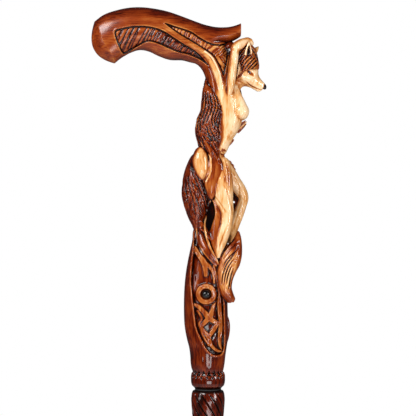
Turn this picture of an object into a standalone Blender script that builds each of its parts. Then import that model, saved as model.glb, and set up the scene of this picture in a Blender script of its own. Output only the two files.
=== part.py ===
"""A carved walking cane that unscrews into a head and a staff.

The head is two hardwood blocks glued on a sloping joint, with a dowel through it, and is carved as one
piece: a derby grip with two sunk panels a side, and below it a fox-headed figure with its tail, standing on a
post with a sunk panel of tracery a side. A steel stud in the top of the staff screws into a brass insert in
the foot of the head.

Metres, +Z up the staff, origin at the middle of the rubber tip's flat base. The grip points to -X and the
figure faces +X. The head's shape is drawn in millimetres above the joint, which is the flat top of the staff.
"""

import math

import bmesh
import bpy
import numpy as np
from mathutils import Matrix, Vector

# Driving dimensions, in metres
STAFF_LENGTH = 0.5833
HEAD_HEIGHT = 0.3251
HEAD_REACH = 0.1500
STAFF_SWELL_RADIUS = 0.0143
STAFF_NECK_RADIUS = 0.0133
STAFF_END_RADIUS = 0.0100
JOINT_FACE_RADIUS = 0.0112
GRIP_HALF_THICKNESS = 0.0140

STUD_RADIUS = 0.00485
STUD_STAND = 0.0200
STUD_SUNK = 0.0300
THREAD_CLEARANCE = 0.00015
INSERT_WALL = 0.0016
INSERT_LENGTH = 0.0240
WASHER_THICKNESS = 0.0012
DOWEL_RADIUS = 0.0040
DOWEL_HALF_LENGTH = 0.0180

TIP_BASE_RADIUS = 0.0185
TIP_WALL = 0.0035
TIP_HEIGHT = 0.0480
TIP_FLOOR = 0.0100
TIP_DISC_THICKNESS = 0.0014
TIP_DISC_INSET = 0.0008
TIP_FOOT_HEIGHT = 0.0150

BEAD_RADIUS = 0.0039
BEAD_STANDS = 0.0013
PANEL_DEPTH = 0.0024
POST_PANEL_DEPTH = 0.0030
GAP = 0.0003

# Where the joint between head and staff lies
DISC_BOTTOM = TIP_FLOOR + GAP
STAFF_BOTTOM = DISC_BOTTOM + TIP_DISC_THICKNESS + GAP
JOINT = STAFF_BOTTOM + STAFF_LENGTH
HEAD_BOTTOM = JOINT + GAP + WASHER_THICKNESS + GAP

# The head as drawn is 325.1 mm high and 150.0 mm from the end cap to the nose
HEIGHT_SCALE = HEAD_HEIGHT / 325.1
REACH_SCALE = HEAD_REACH / 150.0
SIDE_SCALE = GRIP_HALF_THICKNESS / 14.0

RING_POINTS = 16
ROUND_STEPS = 28


def clear_scene():
    for old in list(bpy.data.objects):
        bpy.data.objects.remove(old, do_unlink=True)


def collection(name, hidden=False):
    made = bpy.data.collections.new(name)
    bpy.context.scene.collection.children.link(made)
    made.hide_render = hidden
    return made


clear_scene()
CANE = collection("carved_walking_cane")
CUTTERS = collection("cutters", hidden=True)


def add_object(name, mesh, helper=False):
    made = bpy.data.objects.new(name, mesh)
    (CUTTERS if helper else CANE).objects.link(made)
    if helper:
        made.hide_render = True
        made.display_type = "WIRE"
    return made


def finish(obj, colour, roughness, metallic=0.0):
    """Gives the object its own material and smooth shading that keeps its hard edges."""
    material = bpy.data.materials.new(obj.name)
    material.use_nodes = True
    shader = material.node_tree.nodes["Principled BSDF"]
    shader.inputs["Base Color"].default_value = (*colour, 1.0)
    shader.inputs["Roughness"].default_value = roughness
    shader.inputs["Metallic"].default_value = metallic
    obj.data.materials.clear()
    obj.data.materials.append(material)
    obj.data.shade_smooth()
    obj.data.set_sharp_from_angle(angle=math.radians(40))
    return obj


def mesh_from(bm, name):
    bmesh.ops.recalc_face_normals(bm, faces=bm.faces)
    mesh = bpy.data.meshes.new(name)
    bm.to_mesh(mesh)
    bm.free()
    return mesh


def head_point(x, y, z):
    """A point of the head's drawing, in millimetres from the staff's axis and above the joint."""
    return Vector((x * REACH_SCALE, y * SIDE_SCALE, JOINT + z * HEIGHT_SCALE))


def smooth_rows(rows, steps):
    """Rows of numbers, filled in between by a Catmull-Rom curve. One step leaves them as they are."""
    rows = np.array(rows, float)
    padded = np.vstack([2 * rows[0] - rows[1], rows, 2 * rows[-1] - rows[-2]])
    filled = []
    for i in range(1, len(padded) - 2):
        before, start, end, after = padded[i - 1 : i + 3]
        for t in np.arange(steps) / steps:
            filled.append(
                0.5
                * (
                    2 * start
                    + (end - before) * t
                    + (2 * before - 5 * start + 4 * end - after) * t**2
                    + (3 * start - before - 3 * end + after) * t**3
                )
            )
    return np.vstack([filled, rows[-1:]])


def section(row, squareness, inset):
    """A rounded section seen from the side as a line from back to front, in drawing millimetres."""
    back_x, back_z, front_x, front_z, half_width, middle_y = row
    middle = np.array([(back_x + front_x) / 2, (back_z + front_z) / 2])
    reach = np.array([(front_x - back_x) / 2, (front_z - back_z) / 2])
    length = np.linalg.norm(reach)
    reach *= (length - inset) / length
    points = []
    for turn in np.arange(RING_POINTS) * 2 * math.pi / RING_POINTS:
        along = math.copysign(abs(math.cos(turn)) ** (2 / squareness), math.cos(turn))
        across = math.copysign(abs(math.sin(turn)) ** (2 / squareness), math.sin(turn))
        x, z = middle + reach * along
        points.append(head_point(x, middle_y + (half_width - inset) * across, z))
    return points


def lofted(name, rows, squareness=2.0, inset=0.0, helper=True):
    """A closed form through rows of (back x, back z, front x, front z, half width, middle y)."""
    bm = bmesh.new()
    rings = []
    for row in rows:
        rings.append([bm.verts.new(point) for point in section(row, squareness, inset)])
    for lower, upper in zip(rings, rings[1:]):
        for i in range(RING_POINTS):
            j = (i + 1) % RING_POINTS
            bm.faces.new((lower[i], lower[j], upper[j], upper[i]))
    bm.faces.new(rings[0])
    bm.faces.new(list(reversed(rings[-1])))
    return add_object(name, mesh_from(bm, name), helper)


def limb(name, points, side=1, steps=1, resolution=2, closed=False):
    """A tapered round bar through points of (x, y, z, radius), mirrored to the far side by side = -1."""
    curve = bpy.data.curves.new(name, "CURVE")
    curve.dimensions = "3D"
    curve.bevel_depth = 1.0
    curve.bevel_resolution = resolution
    curve.use_fill_caps = not closed
    rows = smooth_rows(points + points[:1] if closed else points, steps)
    rows = rows[:-1] if closed else rows
    spline = curve.splines.new("POLY")
    spline.points.add(len(rows) - 1)
    spline.use_cyclic_u = closed
    for point, (x, y, z, radius) in zip(spline.points, rows):
        point.co = (*head_point(x, y * side, z), 1.0)
        point.radius = radius * SIDE_SCALE
    source = add_object(name + "_curve", curve, helper=True)
    bpy.context.view_layer.update()
    graph = bpy.context.evaluated_depsgraph_get()
    mesh = bpy.data.meshes.new_from_object(source.evaluated_get(graph))
    bm = bmesh.new()
    bm.from_mesh(mesh)
    bmesh.ops.remove_doubles(bm, verts=bm.verts, dist=1e-6)
    made = add_object(name, mesh_from(bm, name), helper=True)
    made.matrix_world = source.matrix_world
    bpy.data.objects.remove(source, do_unlink=True)
    return made


def rounded_mass(name, centre, radii, lean=0.0, side=1):
    """An ellipsoid, leaning by an angle about the side axis."""
    bm = bmesh.new()
    bmesh.ops.create_uvsphere(bm, u_segments=12, v_segments=6, radius=1.0)
    scale = Matrix.Diagonal(
        (
            radii[0] * REACH_SCALE,
            radii[1] * SIDE_SCALE,
            radii[2] * HEIGHT_SCALE,
            1.0,
        )
    )
    place = Matrix.Translation(head_point(centre[0], centre[1] * side, centre[2]))
    bm.transform(place @ Matrix.Rotation(math.radians(lean), 4, "Y") @ scale)
    return add_object(name, mesh_from(bm, name), helper=True)


def turned(name, profile, helper=False, ring=False):
    """A turned form from (radius, height) points that run from the top down the outer side.

    A ring's profile closes on itself, and any other starts and ends on the axis.
    """
    mesh = bpy.data.meshes.new(name)
    points = [(radius, 0.0, height) for radius, height in profile]
    edges = [(i, i + 1) for i in range(len(points) - 1)]
    if ring:
        edges.append((len(points) - 1, 0))
    mesh.from_pydata(points, edges, [])
    made = add_object(name, mesh, helper)
    screw = made.modifiers.new("turn", "SCREW")
    screw.steps = ROUND_STEPS
    screw.render_steps = ROUND_STEPS
    screw.use_merge_vertices = True
    screw.merge_threshold = 0.00001
    return made


def bar(name, radius, low, high, helper=False):
    """A plain round bar on the staff's axis."""
    return turned(name, [(0.0, high), (radius, high), (radius, low), (0.0, low)], helper)


def prism(name, outline, side, nearest, furthest):
    """A flat outline of (x, z) drawing points, carried sideways from nearest to furthest off the middle."""
    bm = bmesh.new()
    near = [bm.verts.new(head_point(x, side * nearest, z)) for x, z in outline]
    far = [bm.verts.new(head_point(x, side * furthest, z)) for x, z in outline]
    bm.faces.new(near)
    bm.faces.new(list(reversed(far)))
    for i in range(len(outline)):
        j = (i + 1) % len(outline)
        bm.faces.new((near[i], far[i], far[j], near[j]))
    return add_object(name, mesh_from(bm, name), helper=True)


def boolean(obj, operation, *others):
    """Joins or cuts one after another. The neck's many overlapping masses need the manifold solver."""
    for other in others:
        modifier = obj.modifiers.new(other.name, "BOOLEAN")
        modifier.operation = operation
        modifier.solver = "MANIFOLD" if obj.name == "neck_block" else "EXACT"
        modifier.object = other


# The grip: sections from the end cap to the beak, as top point, bottom point and half thickness
CAP_TOP = (-96.5, 312.9)
CAP_BOTTOM = (-79.6, 277.6)
CAP_BULGE = 10.0
GRIP_ROWS = [
    (*CAP_TOP, *CAP_BOTTOM, 12.6, 0),
    (-88.0, 319.0, -73.5, 282.4, 13.6, 0),
    (-77.5, 322.6, -66.0, 286.7, 14.0, 0),
    (-66.5, 324.8, -58.0, 289.0, 14.0, 0),
    (-55.5, 325.1, -50.0, 287.6, 14.0, 0),
    (-44.5, 323.8, -42.0, 283.8, 14.0, 0),
    (-33.5, 321.4, -32.5, 280.6, 14.0, 0),
    (-22.5, 317.6, -22.0, 280.2, 13.8, 0),
    (-11.5, 313.4, -11.5, 278.5, 13.5, 0),
    (-2.0, 310.1, -1.0, 285.0, 13.0, 0),
    (8.0, 308.1, 8.5, 293.6, 12.4, 0),
    (17.5, 308.3, 18.0, 295.4, 11.6, 0),
    (24.5, 310.0, 24.5, 298.4, 10.8, 0),
    (28.4, 311.6, 28.2, 300.9, 10.2, 0),
]


def cap_rows():
    """The convex end cap, as ever smaller copies of the grip's first section."""
    chord = np.array(CAP_BOTTOM) - np.array(CAP_TOP)
    middle = (np.array(CAP_BOTTOM) + np.array(CAP_TOP)) / 2
    outwards = np.array([chord[1], -chord[0]]) / np.linalg.norm(chord)
    rows = []
    for angle in (82, 66, 50, 34, 16):
        shrink = math.cos(math.radians(angle))
        centre = middle + outwards * CAP_BULGE * math.sin(math.radians(angle))
        top = centre - chord / 2 * shrink
        bottom = centre + chord / 2 * shrink
        rows.append((*top, *bottom, GRIP_ROWS[0][4] * shrink, 0))
    return rows


# The core that runs down from the grip through chest, waist and hips into the post
CORE_ROWS = [
    (-24.0, 284.0, -13.0, 305.0, 12.2, 0),
    (-14.5, 279.2, 2.0, 302.5, 12.5, 0),
    (-8.3, 275.8, 12.0, 297.5, 12.6, 0),
    (-4.3, 270.6, 17.5, 290.5, 12.7, 0),
    (-1.8, 263.5, 20.0, 281.5, 12.6, 0),
    (-0.5, 256.0, 22.0, 267.0, 12.6, 0),
    (1.0, 247.0, 25.0, 251.5, 12.9, 0),
    (3.0, 238.0, 28.5, 240.5, 12.9, 0),
    (4.0, 229.0, 29.3, 231.0, 12.4, 0),
    (5.0, 220.0, 26.2, 221.0, 11.4, 0),
    (5.0, 211.0, 19.7, 211.5, 10.2, 0),
    (3.0, 204.0, 14.0, 203.0, 9.4, 0),
    (-8.0, 197.0, 15.0, 196.0, 11.0, 0),
    (-12.0, 188.0, 18.0, 186.0, 12.6, 0),
    (-12.0, 176.0, 18.0, 174.0, 11.5, 0),
    (-9.0, 166.0, 15.0, 164.0, 8.5, 0),
    (-5.0, 157.0, 12.0, 157.0, 6.2, 0),
    (-6.0, 148.0, 12.0, 148.0, 5.6, 0),
    (-8.0, 139.0, 13.0, 139.0, 7.0, 0),
    (-9.0, 130.0, 13.0, 130.0, 10.0, 0),
]

# The post below the figure, from under the tail down to the turned collar
POST_ROWS = [
    (-11.0, 139.0, 11.0, 137.0, 9.0, 0),
    (-12.9, 134.5, 15.0, 133.0, 12.4, 0),
    (-13.4, 127.5, 16.6, 127.5, 13.8, 0),
    (-15.2, 119.0, 16.8, 119.0, 14.8, 0),
    (-17.0, 110.5, 16.8, 110.5, 15.6, 0),
    (-18.8, 100.0, 16.6, 100.0, 16.2, 0),
    (-20.0, 88.0, 16.5, 88.0, 16.6, 0),
    (-20.5, 75.0, 16.6, 75.0, 16.8, 0),
    (-20.3, 60.0, 17.0, 60.0, 16.8, 0),
    (-19.4, 51.0, 17.2, 51.0, 16.6, 0),
    (-17.8, 43.0, 16.8, 43.0, 16.2, 0),
    (-16.0, 36.0, 15.8, 36.0, 15.6, 0),
    (-15.1, 29.0, 14.8, 29.0, 15.0, 0),
    (-14.9, 23.5, 14.4, 23.5, 14.7, 0),
    (-14.2, 18.7, 13.8, 18.7, 14.0, 0),
]

# The hair down the back
HAIR_ROWS = [
    (-2.2, 265.0, 0.8, 264.5, 3.4, 0),
    (-4.4, 256.0, 4.4, 255.0, 9.6, 0),
    (-5.5, 247.0, 8.6, 246.0, 13.0, 0),
    (-6.6, 237.0, 9.8, 236.0, 14.2, 0),
    (-10.0, 229.0, 8.9, 227.0, 14.6, 0),
    (-10.9, 219.0, 7.8, 219.0, 14.2, 0),
    (-9.2, 211.5, 9.0, 209.0, 13.4, 0),
    (-7.6, 206.0, 10.2, 202.0, 13.2, 0),
    (-2.0, 201.4, 11.2, 196.4, 13.6, 0),
    (6.0, 197.6, 12.0, 191.5, 13.8, 0),
]

TAIL_ROWS = [
    (-9.6, 203.0, -7.0, 203.6, 3.5, 0),
    (-14.4, 198.6, -7.4, 199.6, 6.8, 0),
    (-18.4, 190.5, -7.0, 193.0, 10.2, 0),
    (-20.8, 182.5, -4.6, 184.5, 12.6, 0),
    (-22.0, 174.5, -2.4, 175.5, 13.8, 0),
    (-22.4, 166.5, -0.2, 167.0, 14.4, 0),
    (-21.2, 159.5, 0.6, 159.5, 14.2, 0),
    (-19.0, 152.0, -0.4, 152.5, 13.4, 0),
    (-16.6, 146.0, -2.2, 146.5, 12.4, 0),
    (-13.6, 140.0, -5.0, 141.0, 11.0, 0),
    (-11.6, 135.0, -7.0, 136.0, 9.4, 0),
]

# The end of the tail, which comes round to the front of the post
TAIL_END_ROWS = [
    (24.8, 135.6, 26.6, 135.0, 1.2, -3.5),
    (21.6, 129.0, 28.1, 129.6, 4.0, -5.5),
    (16.4, 123.6, 28.9, 121.5, 5.6, -7.0),
    (11.6, 116.4, 28.5, 113.5, 6.6, -8.0),
    (9.2, 109.0, 26.8, 106.5, 7.0, -8.8),
    (7.7, 99.5, 22.6, 98.0, 7.2, -9.4),
    (8.6, 88.0, 20.1, 87.5, 6.6, -9.6),
    (10.8, 82.0, 21.6, 82.0, 6.0, -9.4),
    (13.8, 77.6, 23.0, 78.2, 4.8, -9.0),
    (17.2, 74.2, 22.0, 75.2, 2.6, -8.8),
]

# The loincloth, a band over the hip that ends in a point between the thighs and the tail
LOINCLOTH_ROWS = [
    (0.8, 203.3, 4.5, 203.3, 12.6, 0),
    (1.9, 197.0, 9.7, 197.0, 15.2, 0),
    (1.9, 190.8, 12.7, 190.8, 16.3, 0),
    (0.8, 184.5, 12.4, 184.5, 16.6, 0),
    (-2.6, 176.0, 10.4, 176.0, 16.2, 0),
    (-1.5, 168.8, 7.4, 168.8, 15.4, 0),
    (0.8, 163.0, 4.6, 163.0, 14.0, 0),
]

# The fox's face, from the back of the jaw to the nose, and the cap of hair round its skull
FACE_ROWS = [
    (23.5, 259.6, 27.0, 288.0, 9.6, 0),
    (28.0, 258.2, 35.0, 281.0, 9.2, 0),
    (32.4, 258.0, 42.2, 273.4, 7.8, 0),
    (36.2, 256.9, 42.9, 268.4, 6.0, 0),
    (39.3, 255.2, 44.4, 264.9, 4.7, 0),
    (42.0, 253.7, 46.5, 262.4, 3.7, 0),
    (44.6, 254.0, 48.1, 260.7, 2.8, 0),
    (46.6, 255.6, 48.8, 259.4, 1.7, 0),
]
CAP_ROWS = [
    (30.0, 294.2, 36.4, 294.2, 4.0, 0),
    (25.4, 291.0, 40.0, 290.4, 8.8, 0),
    (22.6, 285.6, 42.0, 285.0, 10.6, 0),
    (21.4, 280.0, 43.0, 280.0, 11.2, 0),
    (21.2, 275.0, 43.6, 275.6, 11.2, 0),
    (21.4, 270.0, 42.4, 270.6, 10.8, 0),
    (22.0, 265.0, 36.0, 265.0, 9.8, 0),
    (22.6, 260.5, 31.0, 260.5, 8.4, 0),
]
BELOW_HAIRLINE = [
    (18.0, 261.6), (21.0, 262.4), (24.0, 263.6), (26.6, 264.8), (28.4, 267.0), (30.4, 270.2), (35.4, 271.8),
    (40.1, 272.5), (46.0, 273.6), (50.0, 262.0), (40.0, 250.0), (18.0, 250.0),
]
NEAR_EAR = [
    (34.5, 294.6), (36.0, 290.8), (37.1, 286.0), (36.6, 284.4), (34.0, 283.4), (31.2, 283.2), (30.9, 285.0),
    (32.2, 289.8),
]
EAR_HOLLOW = [(34.6, 291.4), (35.3, 288.4), (35.6, 285.0), (33.0, 284.4), (32.6, 286.0), (33.5, 288.6)]

# The round limbs, as (x, y, z, radius) from end to end, on the near side where they come in pairs
NECK = [
    (30.0, 0, 266, 6.0), (23.4, 0, 259, 5.4), (20.6, 0, 252, 6.6), (18, 0, 245, 8.6),
]
FAR_EAR = [
    (37.4, 5.6, 286.5, 2.6), (40.4, 6.2, 289.6, 2.0), (42.8, 6.8, 292.3, 0.6),
]
UPPER_ARM = [
    (18.0, -11.0, 249.4, 2.0), (18.3, -12.2, 255.6, 3.3), (19.4, -12.8, 263.5, 3.9),
    (20.2, -13.2, 270.5, 4.1), (21.3, -13.4, 279.5, 4.2), (21.9, -13.2, 287.0, 4.4),
]
FOREARM = [
    (21.9, -13.0, 287.0, 4.3), (23.6, -12.0, 290.6, 4.6), (27.4, -9.6, 292.9, 4.4),
    (30.8, -7.4, 295.0, 3.4), (33.6, -6.4, 296.2, 2.8), (36.2, -5.8, 295.6, 2.0),
    (37.4, -5.4, 293.6, 1.1),
]
TORSO = [
    (17.0, -4.0, 252, 7.5), (19.0, -4.6, 243, 8.2), (19.6, -4.6, 234, 8.0), (17.6, -4.2, 224, 7.4),
    (14.2, -3.6, 214, 6.4), (10.8, -3.0, 205, 5.6),
]
CHEST = [
    (22.4, -5.6, 256, 3.2), (25.0, -6.0, 248.5, 3.8), (27.6, -6.2, 242.0, 4.6), (28.9, -6.2, 237.4, 5.3),
]
NEAR_LEG = [
    (12.0, -7.0, 191, 7.0), (12.6, -8.4, 178, 8.3), (13.0, -9.2, 168, 8.2), (13.9, -9.8, 160, 7.3),
    (15.6, -10.4, 152, 6.0), (15.4, -10.8, 144, 5.4), (13.6, -11.2, 136, 5.5), (10.8, -11.8, 127, 5.1),
    (8.9, -12.4, 120, 3.7), (8.4, -12.8, 114, 1.3),
]
BACK_OF_CALF = [
    (5.4, -8.5, 160, 2.6), (8.0, -8.8, 152, 4.4), (8.2, -9.0, 144, 5.2), (7.4, -9.6, 136, 5.2),
    (6.4, -10.8, 128, 4.4), (7.6, -12.0, 119, 2.6), (8.4, -12.6, 114, 1.2),
]
FAR_LEG = [
    (12, 5, 193, 7.2), (18.6, 6.0, 186.0, 7.0), (23.8, 7.2, 178.0, 6.8), (27.6, 8.0, 170.5, 6.2),
    (29.0, 8.6, 163.5, 5.2), (27.4, 8.6, 156.0, 4.9), (25.0, 8.2, 148.5, 5.0), (22.6, 7.6, 141, 4.6),
    (20.4, 7.0, 133, 4.0), (18.6, 6.4, 127, 2.8),
]
FAR_PANEL_RIM = [
    (13.2, 9.5, 80, 1.6), (16.2, 8.5, 66, 2.2), (17.6, 7.5, 52, 2.4), (15.8, 8.2, 38, 1.6),
]
RIB = [
    (-36.0, -12.7, 305.6, 1.1), (-20.3, -12.5, 295.6, 1.7), (-6.6, -11.8, 287.4, 2.1),
    (1.6, -11.2, 280.2, 2.6), (7.5, -10.6, 268.6, 3.2), (11.2, -10.4, 253.9, 3.1),
    (12.4, -10.6, 245.0, 2.4),
]

# Outlines of the sunk panels, as (x, z)
LOWER_GRIP_PANEL = [
    (-78.5, 302.3), (-70.9, 306.0), (-61.1, 307.6), (-49.1, 307.1), (-38.3, 303.9), (-27.5, 297.2),
    (-11.7, 287.4), (-5.8, 282.5), (0.8, 274.4), (-9.0, 281.0), (-17.2, 284.2), (-25.2, 286.0),
    (-33.4, 289.2), (-41.6, 292.8), (-50.2, 294.8), (-60.0, 290.9), (-70.9, 286.4), (-74.0, 287.5),
]
UPPER_GRIP_PANEL = [
    (-36.1, 309.7), (-28.0, 307.4), (-14.5, 303.1), (-6.3, 297.7), (1.9, 293.3), (12.7, 292.8),
    (16.6, 291.0), (16.0, 276.6), (13.8, 267.8), (8.8, 275.5), (3.5, 284.2), (-6.3, 290.1),
    (-14.5, 295.0), (-25.2, 301.5),
]
POST_PANEL = [
    (-11.6, 134.0), (-12.0, 121.0), (-13.6, 106.0), (-14.4, 93.0), (-13.0, 79.0), (-11.3, 64.0),
    (-9.9, 54.5), (-6.9, 47.0), (-2.0, 37.5), (3.0, 32.2), (7.0, 30.8), (11.5, 32.0), (13.4, 38.5),
    (13.4, 54.5), (13.2, 64.0), (13.0, 74.0), (12.0, 84.0), (11.5, 95.0), (11.0, 108.0), (7.0, 120.0),
    (0.0, 130.0), (-6.0, 136.0),
]
# The hollow between tail and near calf, and the web of wood that joins far shin and post
HOLLOW = [
    (3.4, 161.2), (1.8, 158.6), (0.3, 154.0), (-1.1, 148.0), (-1.6, 142.0), (-0.7, 136.4), (0.6, 133.6),
    (2.2, 136.4), (4.1, 141.5), (6.0, 147.0), (6.4, 152.0), (5.2, 158.0),
]
WEB = [
    (14.0, 184.0), (21.0, 184.0), (25.5, 178.0), (27.0, 170.0), (26.0, 162.0), (23.5, 155.0), (20.0, 151.0),
    (12.0, 151.0), (12.0, 164.0),
]

# The raised tracery, as bars of (x, z, half width): the root that comes down from the tail, branch and twig,
# the stalk in front, the two crossing bars, and the lower side of the diamond that they form
TRACERY = [
    [(-7.4, 143.0, 2.6), (-6.2, 137.0, 3.6), (-5.0, 129.5, 3.8), (-2.4, 122.0, 3.4), (1.5, 116.0, 2.8),
     (7.4, 107.6, 1.4)],
    [(-13.0, 122.5, 1.7), (-7.5, 114.6, 1.9), (-3.6, 109.6, 2.2), (-2.0, 104.0, 2.0), (-1.8, 97.2, 1.3)],
    [(-3.4, 110.0, 1.6), (1.2, 105.8, 1.6), (4.3, 93.0, 1.0)],
    [(4.9, 106.0, 1.0), (9.0, 88.0, 1.0), (7.6, 74.0, 1.1), (11.0, 55.0, 1.1), (8.3, 44.5, 1.2),
     (11.8, 35.0, 1.0)],
    [(-11.4, 72.2, 1.3), (-3.4, 68.4, 1.8), (1.0, 64.6, 2.5), (8.0, 58.4, 1.6)],
    [(5.4, 74.4, 1.2), (1.0, 64.6, 2.4), (-7.6, 56.4, 1.4), (-7.6, 53.0, 1.4), (-1.4, 45.6, 1.9),
     (3.6, 38.4, 1.3), (11.4, 33.6, 1.0)],
    [(8.6, 57.4, 1.6), (8.2, 52.8, 1.6), (1.4, 41.6, 1.4)],
]
TRACERY_STANDS = 1.6
RING_CENTRE = (-1.6, 82.4)
RING_RADIUS = 6.95
RING_HALF_WIDTH = 1.95


def post_surface(x, z, inset):
    """How far the post's surface, sunk by inset, lies from its middle plane, in drawing millimetres."""
    heights = [row[1] for row in reversed(POST_ROWS)]
    back, front, half = (
        np.interp(z, heights, [row[i] for row in reversed(POST_ROWS)]) for i in (0, 2, 4)
    )
    middle, reach = (back + front) / 2, (front - back) / 2 - inset
    return (half - inset) * math.sqrt(max(0.05, 1 - ((x - middle) / reach) ** 2))


def tracery(side):
    """The raised bars in the post's panel and the ring round the bead."""

    def on_floor(points):
        floor = POST_PANEL_DEPTH * 1000 - TRACERY_STANDS
        return [(x, -post_surface(x, z, floor + radius), z, radius) for x, z, radius in points]

    tag = "near" if side > 0 else "far"
    made = []
    for number, points in enumerate(TRACERY):
        made.append(limb(f"bar_{number}_{tag}", on_floor(points), side, resolution=1))
    ring = []
    for turn in np.arange(14) * 2 * math.pi / 14:
        x = RING_CENTRE[0] + RING_RADIUS * math.cos(turn)
        z = RING_CENTRE[1] + RING_RADIUS * math.sin(turn)
        ring.append((x, z, RING_HALF_WIDTH))
    made.append(limb(f"ring_{tag}", on_floor(ring), side, resolution=1, closed=True))
    return made


def fox_head():
    """Face, nose and ears, and the cap of hair, which ends in a step at the hairline."""
    cap = lofted("cap", CAP_ROWS)
    boolean(cap, "DIFFERENCE", prism("below_hairline", BELOW_HAIRLINE, 1, -20.0, 20.0))
    ear = prism("near_ear", NEAR_EAR, -1, 9.6, 13.4)
    boolean(ear, "DIFFERENCE", prism("ear_hollow", EAR_HOLLOW, -1, 12.2, 15.0))
    return [
        lofted("face", FACE_ROWS, squareness=2.1),
        rounded_mass("nose", (47.8, 0, 257.9), (1.7, 2.3, 2.5), lean=-15),
        cap,
        ear,
        limb("far_ear", FAR_EAR, steps=2),
    ]


def figure():
    """The carved figure, form by form. Near is -Y."""
    forms = [
        lofted("hair", HAIR_ROWS),
        lofted("tail", TAIL_ROWS),
        lofted("tail_end", TAIL_END_ROWS),
        lofted("loincloth", LOINCLOTH_ROWS),
        limb("neck", NECK, steps=2),
        limb("near_leg", NEAR_LEG),
        limb("far_leg", FAR_LEG),
        rounded_mass("behind_the_arms", (20.0, 0, 287.0), (6.5, 9.0, 7.0)),
        *fox_head(),
    ]
    for side, tag in ((1, "near"), (-1, "far")):
        forms += [
            limb(f"torso_{tag}", TORSO, side),
            limb(f"chest_{tag}", CHEST, side, steps=2),
            rounded_mass(f"breast_{tag}", (29.1, -6.2, 236.0), (5.6, 5.5, 5.7), side=side),
            rounded_mass(f"hip_{tag}", (5.5, -8.6, 184.0), (8.6, 6.6, 18.0), lean=6, side=side),
            rounded_mass(f"seat_{tag}", (-6.3, -8.8, 192.2), (7.3, 6.4, 14.9), lean=-3, side=side),
            limb(f"upper_arm_{tag}", UPPER_ARM, side),
            limb(f"forearm_{tag}", FOREARM, side),
        ]
    return forms


def glue_line():
    """The glue line's two ends, at the crook and under the beak, and its slope."""
    low, high = head_point(-8.0, 0, 273.9), head_point(28.5, 0, 299.8)
    return low, high, math.atan2(high.z - low.z, high.x - low.x)


def glue_slab(name, upper):
    """A slab that takes away everything above, or everything below, the sloping glue line."""
    low, high, slope = glue_line()
    bm = bmesh.new()
    bmesh.ops.create_cube(bm, size=1.0)
    thickness = 0.4
    shift = (thickness - GAP) / 2
    frame = Matrix.Translation((low + high) / 2) @ Matrix.Rotation(-slope, 4, "Y")
    offset = Matrix.Translation((0, 0, shift if upper else -shift))
    bm.transform(frame @ offset @ Matrix.Diagonal((0.6, 0.2, thickness, 1.0)))
    return add_object(name, mesh_from(bm, name), helper=True)


def panel_cutter(name, outline, side, cores):
    """A sunk panel: the outline carried through the side, less the core that its floor follows."""
    cutter = prism(name, outline, side, 2.0, 30.0)
    boolean(cutter, "DIFFERENCE", *cores)
    return cutter


def dowel(name, radius, half_length, helper=False):
    """A round bar square through the middle of the glue line."""
    low, high, slope = glue_line()
    bm = bmesh.new()
    bmesh.ops.create_cone(
        bm, cap_ends=True, segments=24, radius1=radius, radius2=radius, depth=2 * half_length
    )
    made = add_object(name, mesh_from(bm, name), helper)
    made.location = low.lerp(high, 0.45)
    made.rotation_euler = (0, -slope, 0)
    return made


def grip_rows():
    return cap_rows() + GRIP_ROWS


def build_head():
    grip_inner = lofted("grip_inner", grip_rows(), squareness=2.4, inset=PANEL_DEPTH * 1000)
    core_inner = lofted("core_inner", CORE_ROWS[:8], squareness=2.4, inset=PANEL_DEPTH * 1000)
    cutters = []
    for side, tag in ((-1, "near"), (1, "far")):
        cutters.append(panel_cutter(f"lower_panel_{tag}", LOWER_GRIP_PANEL, side, (grip_inner, core_inner)))
        cutters.append(panel_cutter(f"upper_panel_{tag}", UPPER_GRIP_PANEL, side, (grip_inner, core_inner)))

    grip = lofted("grip_block", grip_rows(), squareness=2.4, helper=False)
    core_top = lofted("core_top", CORE_ROWS[:8], squareness=2.4)
    boolean(grip, "UNION", core_top)
    boolean(grip, "DIFFERENCE", *cutters)
    under_beak = rounded_mass("under_beak", (18.2, 0, 291.3), (5.6, 8.5, 4.6), lean=-30)
    ribs = limb("rib_near", RIB), limb("rib_far", RIB, side=-1)
    boolean(grip, "UNION", under_beak, *ribs)
    boolean(grip, "DIFFERENCE", glue_slab("below_glue_line", upper=False))

    neck = lofted("neck_block", POST_ROWS, helper=False)
    post_inner = lofted("post_inner", POST_ROWS, inset=POST_PANEL_DEPTH * 1000)
    boolean(neck, "UNION", lofted("core", CORE_ROWS, squareness=2.3), collar())
    for side, tag in ((-1, "near"), (1, "far")):
        boolean(neck, "DIFFERENCE", panel_cutter(f"post_panel_{tag}", POST_PANEL, side, (post_inner,)))
    boolean(neck, "DIFFERENCE", *cutters)
    web = prism("web", WEB, 1, 5.7, 10.3)
    calf = limb("back_of_calf", BACK_OF_CALF)
    boolean(neck, "UNION", web, calf, limb("far_panel_rim", FAR_PANEL_RIM))
    boolean(neck, "DIFFERENCE", prism("hollow", HOLLOW, -1, 1.0, 20.0))
    boolean(neck, "UNION", under_beak, *ribs, *figure())
    boolean(neck, "UNION", *tracery(1), *tracery(-1))
    boolean(neck, "DIFFERENCE", glue_slab("above_glue_line", upper=True))

    hole = dowel("dowel_hole", DOWEL_RADIUS + GAP, DOWEL_HALF_LENGTH + GAP, helper=True)
    boolean(grip, "DIFFERENCE", hole)
    boolean(neck, "DIFFERENCE", hole)
    finish(grip, (0.33, 0.095, 0.03), 0.25)
    finish(neck, (0.42, 0.17, 0.06), 0.35)
    finish(dowel("grip_dowel", DOWEL_RADIUS, DOWEL_HALF_LENGTH), (0.6, 0.42, 0.24), 0.6)
    return neck


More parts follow.
